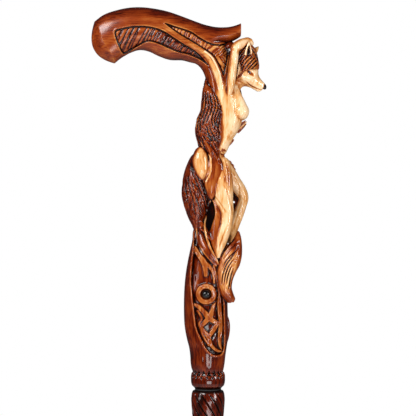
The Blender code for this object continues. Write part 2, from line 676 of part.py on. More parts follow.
def collar():
    """The turned foot of the head: waist, bead and the flat face on the washer."""
    swell = STAFF_SWELL_RADIUS
    profile = [
        (0.0, JOINT + 0.0240),
        (0.0128, JOINT + 0.0240),
        (0.0134, JOINT + 0.0180),
        (0.0133, JOINT + 0.0158),
        (swell - 0.0003, JOINT + 0.0140),
        (swell + 0.0001, JOINT + 0.0103),
        (swell, JOINT + 0.0066),
        (swell - 0.0007, JOINT + 0.0043),
        (JOINT_FACE_RADIUS + 0.0007, JOINT + 0.0026),
        (JOINT_FACE_RADIUS, HEAD_BOTTOM + 0.0002),
        (JOINT_FACE_RADIUS, HEAD_BOTTOM),
        (0.0, HEAD_BOTTOM),
    ]
    return turned("collar", profile, helper=True)


def add_beads(neck):
    """A black ball sunk in the middle of each ring."""
    for side, tag in ((-1, "near"), (1, "far")):
        depth = post_surface(*RING_CENTRE, POST_PANEL_DEPTH * 1000) + BEAD_STANDS * 1000
        centre = head_point(RING_CENTRE[0], side * depth, RING_CENTRE[1])
        for name, radius, helper in (
            (f"inlay_bead_{tag}", BEAD_RADIUS, False),
            (f"bead_seat_{tag}", BEAD_RADIUS + GAP, True),
        ):
            bm = bmesh.new()
            bmesh.ops.create_uvsphere(bm, u_segments=14, v_segments=8, radius=radius)
            ball = add_object(name, mesh_from(bm, name), helper)
            ball.location = centre
            if helper:
                boolean(neck, "DIFFERENCE", ball)
            else:
                finish(ball, (0.01, 0.008, 0.008), 0.15)


def build_joint(neck):
    """Insert, washer and stud, all on the staff's axis."""
    insert_radius = STUD_RADIUS + THREAD_CLEARANCE + INSERT_WALL
    seat_top = HEAD_BOTTOM + INSERT_LENGTH + GAP
    seat = bar("insert_seat", insert_radius + GAP, HEAD_BOTTOM - 0.01, seat_top, helper=True)
    boolean(neck, "DIFFERENCE", seat)
    bore = STUD_RADIUS + THREAD_CLEARANCE
    insert_floor = HEAD_BOTTOM + INSERT_LENGTH - INSERT_WALL
    insert = turned(
        "threaded_insert",
        [
            (0.0, HEAD_BOTTOM + INSERT_LENGTH),
            (insert_radius, HEAD_BOTTOM + INSERT_LENGTH),
            (insert_radius, HEAD_BOTTOM + GAP),
            (bore, HEAD_BOTTOM + GAP),
            (bore, insert_floor),
            (0.0, insert_floor),
        ],
    )
    finish(insert, (0.72, 0.52, 0.22), 0.3, 1.0)

    washer_bottom = JOINT + GAP
    washer_top = washer_bottom + WASHER_THICKNESS
    hole = bore + GAP
    washer = turned(
        "joint_washer",
        [
            (hole, washer_top),
            (JOINT_FACE_RADIUS, washer_top),
            (JOINT_FACE_RADIUS, washer_bottom),
            (hole, washer_bottom),
        ],
        ring=True,
    )
    finish(washer, (0.012, 0.01, 0.01), 0.5)

    top = JOINT + STUD_STAND
    bottom = JOINT - STUD_SUNK
    stud = turned(
        "joint_stud",
        [
            (0.0, top),
            (STUD_RADIUS - 0.0010, top),
            (STUD_RADIUS, top - 0.0010),
            (STUD_RADIUS, bottom + 0.0010),
            (STUD_RADIUS - 0.0010, bottom),
            (0.0, bottom),
        ],
    )
    finish(stud, (0.62, 0.62, 0.63), 0.28, 1.0)


def build_staff():
    """The turned staff: a flat joint face, a swell below it, a slow taper and a plain seat for the tip."""
    seat_top = TIP_HEIGHT + 0.006
    swell_height = JOINT - 0.0085
    neck_height = JOINT - 0.0220
    profile = [
        (0.0, JOINT),
        (JOINT_FACE_RADIUS, JOINT),
        (STAFF_SWELL_RADIUS - 0.0014, JOINT - 0.0006),
        (STAFF_SWELL_RADIUS - 0.0005, JOINT - 0.0028),
        (STAFF_SWELL_RADIUS - 0.0001, JOINT - 0.0056),
        (STAFF_SWELL_RADIUS, swell_height),
        (STAFF_SWELL_RADIUS - 0.0003, JOINT - 0.0135),
        (STAFF_NECK_RADIUS, neck_height),
        (STAFF_END_RADIUS, seat_top),
        (STAFF_END_RADIUS, STAFF_BOTTOM + 0.0010),
        (STAFF_END_RADIUS - 0.0010, STAFF_BOTTOM),
        (0.0, STAFF_BOTTOM),
    ]
    staff = turned("staff", profile)
    hole = bar("stud_hole", STUD_RADIUS + GAP, JOINT - STUD_SUNK - GAP, JOINT + 0.01, helper=True)
    boolean(staff, "DIFFERENCE", hole)
    finish(staff, (0.13, 0.035, 0.018), 0.25)


def build_tip():
    """The rubber tip: bellows above a flared foot with ring treads, and the steel disc under the staff."""
    bore = STAFF_END_RADIUS + GAP
    disc_radius = STAFF_END_RADIUS - TIP_DISC_INSET
    disc_bore = disc_radius + GAP
    sleeve = STAFF_END_RADIUS + TIP_WALL
    profile = [
        (bore, TIP_HEIGHT),
        (sleeve - 0.0006, TIP_HEIGHT),
        (sleeve, TIP_HEIGHT - 0.0008),
        (sleeve, TIP_HEIGHT - 0.0052),
        (sleeve - 0.0008, TIP_HEIGHT - 0.0062),
    ]
    rib_pitch = 0.0066
    for rib in range(3):
        top = TIP_HEIGHT - 0.0070 - rib * rib_pitch
        radius = sleeve - 0.0008 + 0.0004 * rib
        profile += [
            (radius + 0.0012, top - 0.0008),
            (radius + 0.0012, top - 0.0026),
            (radius, top - 0.0036),
            (radius, top - 0.0046),
        ]
    profile += [
        (TIP_BASE_RADIUS - 0.0022, TIP_FOOT_HEIGHT),
        (TIP_BASE_RADIUS - 0.0006, 0.0095),
        (TIP_BASE_RADIUS, 0.0060),
        (TIP_BASE_RADIUS, 0.0010),
        (TIP_BASE_RADIUS - 0.0008, 0.0),
    ]
    for outer in (TIP_BASE_RADIUS - 0.0035, TIP_BASE_RADIUS - 0.0078):
        profile += [(outer, 0.0), (outer - 0.0004, 0.0020), (outer - 0.0012, 0.0020), (outer - 0.0016, 0.0)]
    profile += [
        (0.0, 0.0),
    ]
    tip = turned("rubber_tip", [(0.0, TIP_FLOOR), (disc_bore, TIP_FLOOR), (disc_bore, STAFF_BOTTOM - GAP),
                                (bore, STAFF_BOTTOM - GAP)] + profile)
    finish(tip, (0.015, 0.014, 0.014), 0.7)
    disc = bar("tip_disc", disc_radius, DISC_BOTTOM, DISC_BOTTOM + TIP_DISC_THICKNESS)
    finish(disc, (0.6, 0.6, 0.6), 0.35, 1.0)


def carry(name, height, pieces):
    """An empty on the staff's axis that carries the pieces which move together."""
    empty = bpy.data.objects.new(name, None)
    empty.location = (0, 0, height)
    CANE.objects.link(empty)
    bpy.context.view_layer.update()
    for piece in pieces:
        bpy.data.objects[piece].parent = empty
        bpy.data.objects[piece].matrix_parent_inverse = empty.matrix_world.inverted()


neck_block = build_head()
add_beads(neck_block)
build_joint(neck_block)
build_staff()
build_tip()
inlay_beads = ("inlay_bead_near", "inlay_bead_far")
carry("head", JOINT, ("grip_block", "neck_block", "grip_dowel", "threaded_insert", *inlay_beads))
carry("tip", STAFF_BOTTOM, ("rubber_tip", "tip_disc"))
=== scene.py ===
"""A carved walking cane, seen from its near side. Metres in Blender; the head is drawn in millimetres.

In the head's drawing x runs towards the way the figure faces, y is negative on the near side, and z is the
height above the joint between head and staff.
"""

import math

import bmesh
import bpy
import numpy as np
from mathutils import Matrix, Vector


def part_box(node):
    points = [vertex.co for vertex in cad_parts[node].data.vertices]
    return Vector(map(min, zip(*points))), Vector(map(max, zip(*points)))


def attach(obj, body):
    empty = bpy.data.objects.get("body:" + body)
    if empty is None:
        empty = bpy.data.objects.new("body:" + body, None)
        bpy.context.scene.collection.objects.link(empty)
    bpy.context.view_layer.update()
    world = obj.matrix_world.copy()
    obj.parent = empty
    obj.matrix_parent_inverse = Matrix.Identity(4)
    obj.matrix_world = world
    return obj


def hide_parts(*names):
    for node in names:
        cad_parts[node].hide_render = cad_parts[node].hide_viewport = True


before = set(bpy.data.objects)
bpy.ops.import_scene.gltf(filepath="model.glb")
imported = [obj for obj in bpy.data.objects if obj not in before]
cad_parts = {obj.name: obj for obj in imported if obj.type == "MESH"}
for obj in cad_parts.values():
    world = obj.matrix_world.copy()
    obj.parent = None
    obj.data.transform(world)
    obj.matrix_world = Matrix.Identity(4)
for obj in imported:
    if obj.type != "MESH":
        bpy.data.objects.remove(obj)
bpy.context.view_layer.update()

# The studio: a pale floor, a white surround and soft lights in front and at both sides, as for a shop
# picture. The camera looks along +Y at the head from 1.19 m, level with the middle of the picture.
LOOK_AT = Vector((0.0, 0.0, 0.750))
CAMERA_DISTANCE = 1.19
VIEW_ACROSS = 0.3536


def linear(hex_colour):
    """An sRGB hex colour as the linear RGBA that a shader takes."""
    channels = [int(hex_colour[i : i + 2], 16) / 255 for i in (0, 2, 4)]
    return (*(c / 12.92 if c <= 0.04045 else ((c + 0.055) / 1.055) ** 2.4 for c in channels), 1.0)


def add_node(tree, kind, settings=None, **links):
    """Adds a node. Inputs go by name, or by _ and a number, each a value or another node's output."""
    node = tree.nodes.new(kind)
    for name, value in (settings or {}).items():
        setattr(node, name, value)
    for name, value in links.items():
        by_number = name[0] == "_" and name[1:].isdigit()
        socket = node.inputs[int(name[1:]) if by_number else name.replace("_", " ")]
        if isinstance(value, bpy.types.NodeSocket):
            tree.links.new(value, socket)
        else:
            socket.default_value = value
    return node


camera = bpy.data.objects.new("camera", bpy.data.cameras.new("camera"))
camera.data.sensor_width = 36.0
camera.data.lens = 36.0 * CAMERA_DISTANCE / VIEW_ACROSS
camera.location = LOOK_AT - Vector((0, CAMERA_DISTANCE, 0))
camera.rotation_euler = (math.radians(90), 0, 0)
bpy.context.scene.collection.objects.link(camera)
bpy.context.scene.camera = camera
bpy.context.scene.view_settings.view_transform = "Standard"

surround = bpy.data.worlds.new("white_surround")
surround.use_nodes = True
studio = surround.node_tree
room = studio.nodes["Background"]
room.inputs["Color"].default_value = linear("D6DADF")
room.inputs["Strength"].default_value = 0.09
white_card = add_node(studio, "ShaderNodeBackground", Color=linear("FFFFFF"), Strength=1.0)
seen = add_node(studio, "ShaderNodeLightPath").outputs["Is Camera Ray"]
joined = add_node(studio, "ShaderNodeMixShader", Fac=seen, _1=room.outputs[0], _2=white_card.outputs[0])
studio.links.new(joined.outputs[0], studio.nodes["World Output"].inputs["Surface"])
bpy.context.scene.world = surround


def soft_light(name, place, size, power, aim=LOOK_AT):
    light = bpy.data.lights.new(name, "AREA")
    light.shape = "RECTANGLE"
    light.size, light.size_y = size
    light.energy = power
    lamp = bpy.data.objects.new(name, light)
    lamp.location = place
    lamp.rotation_mode = "QUATERNION"
    lamp.rotation_quaternion = (aim - Vector(place)).to_track_quat("-Z", "Y")
    bpy.context.scene.collection.objects.link(lamp)


soft_light("front_softbox", (-0.75, -0.95, 1.40), (0.6, 0.5), 15.5)
soft_light("low_softbox", (0.15, -1.10, 0.30), (0.6, 0.25), 4.0)
soft_light("left_strip", (-0.95, -0.55, 0.95), (0.14, 0.8), 3.0)
soft_light("right_strip", (0.90, -0.70, 0.90), (0.14, 0.8), 8.0)

floor_mesh = bpy.data.meshes.new("pale_floor")
floor_mesh.from_pydata([(-3, -3, 0), (3, -3, 0), (3, 3, 0), (-3, 3, 0)], [], [(0, 1, 2, 3)])
floor = bpy.data.objects.new("pale_floor", floor_mesh)
floor.location.z = -0.0005
bpy.context.scene.collection.objects.link(floor)
floor_paint = bpy.data.materials.new("matt_white_floor_paint")
floor_paint.use_nodes = True
paint_shader = floor_paint.node_tree.nodes["Principled BSDF"]
paint_shader.inputs["Base Color"].default_value = linear("F2F1EF")
paint_shader.inputs["Roughness"].default_value = 0.8
floor_mesh.materials.append(floor_paint)

# The grip: a block of hardwood, bandsawn and carved to a derby handle, with two sunk and hatched panels a
# side, stained mid brown and lacquered. It is glued to the neck on a sloping joint, so both are carved
# from one set of masses. A section is x and z at the back, x and z in front, half its thickness and its y.
JOINT_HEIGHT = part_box("staff")[1].z
JOINT_MM = JOINT_HEIGHT * 1000
FINE = 0.5
GRIP_ROWS = [
    (-106.0, 305.0, -87.0, 272.0, 11.4, 0),
    (-96.5, 312.9, -79.6, 277.6, 12.6, 0),
    (-88.0, 319.0, -73.5, 282.4, 13.6, 0),
    (-77.5, 322.6, -66.0, 286.7, 14.0, 0),
    (-66.5, 324.8, -58.0, 289.0, 14.0, 0),
    (-55.5, 325.1, -50.0, 287.6, 14.0, 0),
    (-44.5, 323.8, -42.0, 283.8, 14.0, 0),
    (-33.5, 321.4, -32.5, 280.6, 14.0, 0),
    (-22.5, 317.6, -22.0, 280.2, 13.8, 0),
    (-11.5, 313.4, -11.5, 278.5, 13.5, 0),
    (-2.0, 310.1, -1.0, 285.0, 13.0, 0),
    (8.0, 308.1, 8.5, 293.6, 12.4, 0),
    (17.5, 308.3, 18.0, 295.4, 11.6, 0),
    (24.5, 310.0, 24.5, 298.4, 10.8, 0),
    (28.4, 311.8, 28.2, 300.9, 10.2, 0),
    (33.5, 314.6, 33.5, 304.5, 9.6, 0),
]
CAP_TOP, CAP_BOTTOM, CAP_BULGE = np.array((-96.5, 312.9)), np.array((-79.6, 277.6)), 10.6
BEAK_END = 28.0
CORE_ROWS = [
    (-24.0, 284.0, -13.0, 305.0, 12.2, 0),
    (-14.5, 279.2, 2.0, 302.5, 12.5, 0),
    (-8.3, 275.8, 12.0, 297.5, 12.6, 0),
    (-4.3, 270.6, 17.5, 290.5, 12.7, 0),
    (-1.8, 263.5, 20.0, 281.5, 12.6, 0),
    (-0.5, 256.0, 22.0, 267.0, 12.6, 0),
    (1.0, 247.0, 25.0, 251.5, 12.9, 0),
    (3.0, 238.0, 28.5, 240.5, 12.9, 0),
    (4.0, 229.0, 29.3, 231.0, 12.4, 0),
    (5.0, 220.0, 26.2, 221.0, 11.4, 0),
    (5.0, 211.0, 19.7, 211.5, 10.2, 0),
    (3.0, 204.0, 14.0, 203.0, 9.4, 0),
    (-8.0, 197.0, 15.0, 196.0, 11.0, 0),
    (-12.0, 188.0, 18.0, 186.0, 12.6, 0),
    (-12.0, 176.0, 18.0, 174.0, 11.5, 0),
    (-9.0, 166.0, 15.0, 164.0, 8.5, 0),
    (-5.0, 157.0, 12.0, 157.0, 6.2, 0),
    (-6.0, 148.0, 12.0, 148.0, 5.6, 0),
    (-8.0, 139.0, 13.0, 139.0, 7.0, 0),
    (-9.0, 130.0, 13.0, 130.0, 10.0, 0),
]
LOWER_PANEL = [
    (-78.5, 302.3), (-70.9, 306.0), (-61.1, 307.6), (-49.1, 307.1), (-38.3, 303.9), (-27.5, 297.2),
    (-19.9, 292.3), (-11.7, 287.4), (-5.8, 282.5), (0.8, 274.4), (-3.5, 277.6), (-9.0, 281.0),
    (-17.2, 284.2), (-25.2, 286.0), (-33.4, 289.2), (-41.6, 292.8), (-50.2, 294.8), (-60.0, 290.9),
    (-68.5, 286.2), (-73.0, 286.6),
]
UPPER_PANEL = [
    (-36.1, 309.9), (-28.0, 307.6), (-14.5, 303.1), (-6.3, 297.7), (1.9, 293.6), (9.0, 292.6),
    (14.5, 293.6), (17.4, 290.5), (16.6, 280.6), (15.0, 272.8), (13.2, 266.0), (11.0, 270.6),
    (8.0, 276.6), (3.5, 283.4), (-6.3, 290.1), (-14.5, 295.0), (-25.2, 301.5),
]


def filled_in(rows, steps, closed=False):
    """Rows of numbers with a smooth Catmull-Rom run of more rows between them."""
    rows = np.array(rows, float)
    if closed:
        around = np.vstack([rows[-1:], rows, rows[:2]])
    else:
        around = np.vstack([2 * rows[0] - rows[1], rows, 2 * rows[-1] - rows[-2]])
    t = (np.arange(steps) / steps)[:, None]
    filled = []
    for before, start, end, after in zip(around, around[1:], around[2:], around[3:]):
        filled.append(
            0.5 * (2 * start + (end - before) * t + (2 * before - 5 * start + 4 * end - after) * t**2
                   + (3 * start - before - 3 * end + after) * t**3)
        )
    return np.vstack(filled if closed else [*filled, rows[-1:]])


class SideMap:
    """Numbers over the side view, read in between by their four neighbours."""

    def __init__(self, layers, left, low, step):
        self.layers, self.left, self.low, self.step = layers, left, low, step

    def read(self, x, z):
        _, wide, high = self.layers.shape
        u = np.clip((x - self.left) / self.step, 0, wide - 1.001)
        v = np.clip((z - self.low) / self.step, 0, high - 1.001)
        i, j = u.astype(int), v.astype(int)
        u, v = u - i, v - j
        here = self.layers
        return (here[:, i, j] * (1 - u) * (1 - v) + here[:, i + 1, j] * u * (1 - v)
                + here[:, i, j + 1] * (1 - u) * v + here[:, i + 1, j + 1] * u * v)


def map_grid(points, margin, step=0.4):
    low, high = np.min(points, axis=0) - margin, np.max(points, axis=0) + margin
    across = np.arange(low[0], high[0] + step, step)
    up = np.arange(low[1], high[1] + step, step)
    return (*np.meshgrid(across, up, indexing="ij"), low[0], low[1], step)


def one_layer(numbers, left, low, step):
    side_map = SideMap(numbers[None], left, low, step)
    return lambda x, z: side_map.read(x, z)[0]


def from_segment(x, z, start, end):
    """The share of the way along a segment of the side view, and the distance from it."""
    (ax, az), (bx, bz) = start[:2], end[:2]
    length = (bx - ax) ** 2 + (bz - az) ** 2 + 1e-9
    t = np.clip(((x - ax) * (bx - ax) + (z - az) * (bz - az)) / length, 0, 1)
    return t, np.hypot(x - ax - t * (bx - ax), z - az - t * (bz - az))


def outline(points, steps=6):
    """Distance in the side view to a smooth closed outline, negative inside."""
    points = filled_in(points, steps, closed=True)
    x, z, left, low, step = map_grid(points, 6.0)
    nearest = np.full(x.shape, 1e9)
    inside = np.zeros(x.shape, bool)
    for start, end in zip(points, np.roll(points, -1, axis=0)):
        nearest = np.minimum(nearest, from_segment(x, z, start, end)[1])
        (ax, az), (bx, bz) = start, end
        crosses = (az > z) != (bz > z)
        with np.errstate(divide="ignore", invalid="ignore"):
            inside ^= crosses & (x < ax + (z - az) / (bz - az) * (bx - ax))
    return one_layer(np.where(inside, -nearest, nearest), left, low, step)


def strokes(lines, width, steps=5):
    """How deep gouge strokes cut, from 0 to 1, along lines of (x, z) or (x, z, share of the depth)."""
    lines = [filled_in([(*p, 1.0) if len(p) == 2 else p for p in line], steps) for line in lines]
    x, z, left, low, step = map_grid(np.vstack(lines)[:, :2], 3 * width + 1.0, 0.25)
    depth = np.zeros(x.shape)
    reach = 2.5 * width
    for line in lines:
        for start, end in zip(line, line[1:]):
            (ax, az, start_depth), (bx, bz, end_depth) = start, end
            i0, i1 = (int((v - left) / step) for v in (min(ax, bx) - reach, max(ax, bx) + reach))
            j0, j1 = (int((v - low) / step) for v in (min(az, bz) - reach, max(az, bz) + reach))
            part = np.s_[max(i0, 0) : i1 + 2, max(j0, 0) : j1 + 2]
            t, away = from_segment(x[part], z[part], start, end)
            cut = np.clip(1 - away / width, 0, 1) ** 0.8
            depth[part] = np.maximum(depth[part], (start_depth + (end_depth - start_depth) * t) * cut)
    return one_layer(depth, left, low, step)


def ease(value, low, high):
    """0 below low, 1 above high and smooth between."""
    t = np.clip((value - low) / (high - low), 0, 1)
    return t * t * (3 - 2 * t)


def wobble(a, b, seed=0.0):
    """A slow, irregular wave over two directions, from -1 to 1."""
    along = np.sin(a + seed * 2.3 + 1.7 * np.sin(b * 0.7 + seed))
    across = np.sin(b * 1.31 + seed * 4.1 + 1.3 * np.sin(a * 0.83))
    aslant = np.sin(a * 0.53 - b * 0.61 + seed * 5.7)
    return (along + across + aslant) / 3


def soft_corner(a, b, blend):
    """The larger of two distances, with the corner between them rounded."""
    share = np.clip(0.5 + 0.5 * (b - a) / blend, 0, 1)
    return a + (b - a) * share + blend * share * (1 - share)


class Mass:
    """One carved form: its distance field, its box, its stain with any painted shade, and how softly it
    runs into the rest.
    A mirrored one is on both sides, and a cut takes wood away."""

    def __init__(self, field, box, stain, blend=0.5, mirrored=False, cut=False):
        self.field, self.stain, self.blend, self.mirrored, self.cut = field, stain, blend, mirrored, cut
        self.low, self.high = (np.array(corner, float) for corner in box)
        if mirrored:
            reach = max(abs(self.low[1]), abs(self.high[1]))
            self.low[1], self.high[1] = -reach, reach

    def at(self, x, y, z):
        return self.field(x, -np.abs(y) if self.mirrored else y, z)

    def join(self, whole, own):
        if self.cut:
            return soft_corner(whole, -own, self.blend)
        return -soft_corner(-own, -whole, self.blend)

    def stain_at(self, x, y, z):
        if callable(self.stain):
            return self.stain(x, -np.abs(y) if self.mirrored else y, z)
        return np.full(len(x), self.stain)


def sections(rows, squareness, steps=5):
    """A form through slanting sections, as a function for places on it and its box. Squareness 2 is an
    ellipse, and more is squarer."""
    rows = filled_in(rows, steps)
    middle = (rows[:, 0:2] + rows[:, 2:4]) / 2
    reach = (rows[:, 2:4] - rows[:, 0:2]) / 2
    x, z, left, low, step = map_grid(np.vstack([rows[:, 0:2], rows[:, 2:4]]), 8.0, 0.5)
    layers = np.zeros((5, *x.shape))
    layers[0], layers[1], layers[2], layers[3] = 9.0, 5.0, 0.0, 5.0
    for k in range(len(rows) - 1):
        here = (x - middle[k, 0]) * reach[k, 1] - (z - middle[k, 1]) * reach[k, 0]
        there = (x - middle[k + 1, 0]) * reach[k + 1, 1] - (z - middle[k + 1, 1]) * reach[k + 1, 0]
        between = here * there <= 0
        u = np.where(between, here / np.where(here == there, 1.0, here - there), 0.0)
        mx, mz = (middle[k, i] + u * (middle[k + 1, i] - middle[k, i]) for i in (0, 1))
        rx, rz = (reach[k, i] + u * (reach[k + 1, i] - reach[k, i]) for i in (0, 1))
        along = ((x - mx) * rx + (z - mz) * rz) / (rx * rx + rz * rz)
        better = between & (np.abs(along) < np.abs(layers[0]))
        half, middle_y = (rows[k, i] + u * (rows[k + 1, i] - rows[k, i]) for i in (4, 5))
        for layer, value in zip(layers, (along, half, middle_y, np.hypot(rx, rz), (k + u) / steps)):
            layer[better] = value[better]
    side_map = SideMap(layers, left, low, step)

    def coordinates(x, y, z):
        """Distance to the surface, place from -1 behind to 1 in front, side from -1 to 1, and the run."""
        along, half, middle_y, length, run = side_map.read(x, z)
        side = (y - middle_y) / half
        a, b = np.abs(along), np.abs(side)
        q = np.maximum((a**squareness + b**squareness) ** (1 / squareness), 0.05)
        slope = np.sqrt((a ** (squareness - 1) / length) ** 2 + (b ** (squareness - 1) / half) ** 2)
        slope = slope * q ** (1 - squareness)
        return np.clip((q - 1) / np.maximum(slope, 0.02), -8, 8), along, side, run

    box = (
        (rows[:, [0, 2]].min() - 3, (rows[:, 5] - rows[:, 4]).min() - 3, rows[:, [1, 3]].min() - 3),
        (rows[:, [0, 2]].max() + 3, (rows[:, 5] + rows[:, 4]).max() + 3, rows[:, [1, 3]].max() + 3),
    )
    return coordinates, box


def limb(points):
    """A round form through points of (x, y, z, radius)."""
    rows = filled_in(points, 5)

    def field(x, y, z):
        nearest = None
        for (ax, ay, az, ar), (bx, by, bz, br) in zip(rows, rows[1:]):
            dx, dy, dz = bx - ax, by - ay, bz - az
            t = ((x - ax) * dx + (y - ay) * dy + (z - az) * dz) / (dx * dx + dy * dy + dz * dz)
            t = np.clip(t, 0, 1)
            away = np.sqrt((x - ax - t * dx) ** 2 + (y - ay - t * dy) ** 2 + (z - az - t * dz) ** 2)
            away = away - (ar + t * (br - ar))
            nearest = away if nearest is None else np.minimum(nearest, away)
        return nearest

    margin = rows[:, 3:4] + 2.5
    return field, ((rows[:, :3] - margin).min(axis=0), (rows[:, :3] + margin).max(axis=0))


def carved_limb(points, stain, blend, mirrored=False, cut=False):
    """A round form through points of (x, y, z, radius), as a carved form with its stain and any painted
    shade.
    """
    return Mass(*limb(points), stain, blend, mirrored, cut)


def rounded(centre, radii, lean=0.0):
    """A rounded form, leaning by an angle in the side view."""
    cos, sin = math.cos(math.radians(lean)), math.sin(math.radians(lean))
    across, side, up = radii

    def field(x, y, z):
        dx, dy, dz = x - centre[0], y - centre[1], z - centre[2]
        u, w = dx * cos - dz * sin, dx * sin + dz * cos
        q = np.sqrt((u / across) ** 2 + (dy / side) ** 2 + (w / up) ** 2)
        slope = np.sqrt((u / across**2) ** 2 + (dy / side**2) ** 2 + (w / up**2) ** 2)
        return q * (q - 1) / np.maximum(slope, 1e-3)

    reach = np.array([max(across, up), side, max(across, up)]) + 2.5
    return field, (np.array(centre) - reach, np.array(centre) + reach)


def hatch(shape, spacing, angle, length, seed, slew=0.0):
    """Hatching strokes over the box of a shape: gouge cuts at an angle, with a hand's small unevenness."""
    luck = np.random.default_rng(seed)
    points = np.array(shape, float)
    low, high = points.min(axis=0), points.max(axis=0)
    lines = []
    lean = (high[1] - low[1]) / math.tan(math.radians(angle))
    for x in np.arange(low[0] - max(lean, 0) - 2, high[0] - min(lean, 0) + 2, spacing):
        turn = math.radians(angle + luck.normal(0, 2.0) + slew * (x - low[0]) / (high[0] - low[0]))
        start = low[1] - 2
        while start < high[1] + 2:
            run = length * luck.uniform(0.7, 1.3)
            shift = luck.normal(0, 0.18 * spacing)
            foot = x + (start - low[1]) / math.tan(turn) + shift
            share = luck.uniform(0.65, 1.0)
            end = start + run * math.sin(turn)
            lines.append([(foot, start, share), (foot + run * math.cos(turn), end, share * 0.8)])
            start += run * math.sin(turn) + 0.5
    return lines


HERRINGBONE_TIP = [(8.0, 264.0), (17.0, 281.0)]
lower_panel, upper_panel = outline(LOWER_PANEL), outline(UPPER_PANEL)
long_cuts = strokes(hatch(LOWER_PANEL, 2.35, 61, 26.0, 3, slew=-6), 0.62)
short_cuts = strokes(hatch([(-45, 272), (2, 305)], 1.7, 52, 7.0, 4), 0.5)
ladder_cuts = strokes(hatch([(-36, 283), (2, 310)], 1.6, 68, 14.0, 5), 0.42)
crossing_cuts = strokes(hatch([(-2, 266), (19, 296)], 2.9, 42, 8.0, 6), 0.55)
tip_cuts = strokes(hatch(HERRINGBONE_TIP, 2.5, 132, 5.0, 7), 0.5)
grip_form, grip_box = sections(GRIP_ROWS, 2.4)
core_form, core_box = sections(CORE_ROWS, 2.3)


def panel_cuts(x, z):
    """How deep the hatching cuts, from 0 to 1, in the lower panel and in the upper one."""
    low = np.where(x < -42, long_cuts(x, z), np.maximum(short_cuts(x, z), 0.55 * long_cuts(x, z)))
    tip = ease(-x + 0.16 * (z - 266), -13.4, -12.4) * ease(-z, -283.0, -281.5)
    high = np.where(x < -1.0, ladder_cuts(x, z), crossing_cuts(x, z) * (1 - tip) + tip_cuts(x, z) * tip)
    return low, high


def panels_depth(x, y, z):
    """How far the two panels and their hatching lie below the surface, on both sides."""
    low_edge, high_edge = lower_panel(x, z), upper_panel(x, z)
    low_cuts, high_cuts = panel_cuts(x, z)
    depth = 0.0
    for edge, cuts in ((low_edge, low_cuts), (high_edge, high_cuts)):
        floor = 1.9 * ease(-edge, -0.25, 0.35) - 0.75 * ease(-edge, 0.9, 1.7)
        lip = 0.22 * ease(-np.abs(edge - 0.7), -0.8, 0.0)
        depth = depth + floor + 0.7 * cuts * ease(-edge, 0.7, 1.3) - lip
    return depth * ease(np.abs(y), 2.0, 5.0)


def panels_stain(x, z, stain):
    """Black in the borders and cuts, a thin brown on the ridges that are left."""
    low_cuts, high_cuts = panel_cuts(x, z)
    for edge, cuts, ridge in ((lower_panel(x, z), low_cuts, 0.58), (upper_panel(x, z), high_cuts, 0.38)):
        border = ease(-edge, -0.35, 0.0) * (1 - ease(-edge, 0.8, 1.35))
        inside = ease(-edge, 0.2, 0.6)
        stain = stain * (1 - inside) + inside * np.minimum(ridge + 0.55 * cuts**0.7, 1.0)
        stain = np.maximum(stain, border)
    return stain


def grip_field(x, y, z):
    """The handle, ended by the bulging cap at the back and by the beak's upright cut in front."""
    chord = CAP_BOTTOM - CAP_TOP
    half = np.linalg.norm(chord) / 2
    axis = chord / (2 * half)
    out = np.array([axis[1], -axis[0]])
    dx, dz = x - (CAP_TOP[0] + CAP_BOTTOM[0]) / 2, z - (CAP_TOP[1] + CAP_BOTTOM[1]) / 2
    outwards, down = dx * out[0] + dz * out[1], dx * axis[0] + dz * axis[1]
    spread = np.clip((down / half) ** 2 + (y / 12.6) ** 2, 0, 1.2)
    cap = (outwards - CAP_BULGE * (1 - spread) * (1 + 0.12 * down / half)) * 0.8
    solid = np.maximum(grip_form(x, y, z)[0], cap)
    return soft_corner(solid, x - BEAK_END, 0.8) + panels_depth(x, y, z)


def core_field(x, y, z):
    return core_form(x, y, z)[0] + panels_depth(x, y, z)


def brown_and_top_shade_of_grip(x, y, z):
    top = z - np.interp(x, (-106, -88, -66, -55, -33, -11, 8, 30), (300, 315, 321, 321, 317, 309, 304, 308))
    # Stained mid brown, with a darker band of painted shade along the top edge.
    stain = 0.61 + 0.05 * wobble(x * 0.12, z * 0.2, 1.0) + 0.22 * ease(top, -6, 3)
    return panels_stain(x, z, stain)


def brown_to_pale(x, y, z):
    """The neck's stain: brown in the grip's crook and beside the hair, running out to bare wood."""
    crook = ease(z - 1.15 * x, 236.0, 252.0)
    crook = crook + 0.35 * ease(-x + 0.10 * (z - 230), -8.0, -4.0) * ease(z, 205.0, 215.0)
    beside = ease(np.interp(z, (208, 214, 222, 230, 238), (11.8, 13.2, 13.4, 12.6, 12.2)) - x, -0.8, 1.0)
    crook = crook + 0.8 * beside * ease(z, 206.0, 211.0) * ease(-z, -243.0, -235.0)
    stain = panels_stain(x, z, 0.08 + 0.56 * np.minimum(crook, 1.0) + 0.05 * wobble(x * 0.2, z * 0.1, 6.0))
    return np.maximum(stain, ease(-z, -172.0, -160.0) * ease(z, 128.0, 134.0))


def field_at(masses, points):
    value = np.full(len(points), 6.0)
    for mass in masses:
        inside = np.all((points > mass.low) & (points < mass.high), axis=1)
        if inside.any():
            x, y, z = points[inside].T
            value[inside] = mass.join(value[inside], mass.at(x, y, z))
    return value


def laid_on(masses, points):
    """Puts points of (x, z, radius, proud) so that a limb through them stands proud of the near surface."""
    depths = np.arange(-20.0, 0.0, 0.1)
    placed = []
    for x, z, radius, proud in points:
        line = np.stack([np.full(len(depths), x), depths, np.full(len(depths), z)], axis=1)
        inside = field_at(masses, line) < 0
        surface = depths[np.argmax(inside)] if inside.any() else -radius
        placed.append((x, surface + radius - proud, z, radius))
    return placed


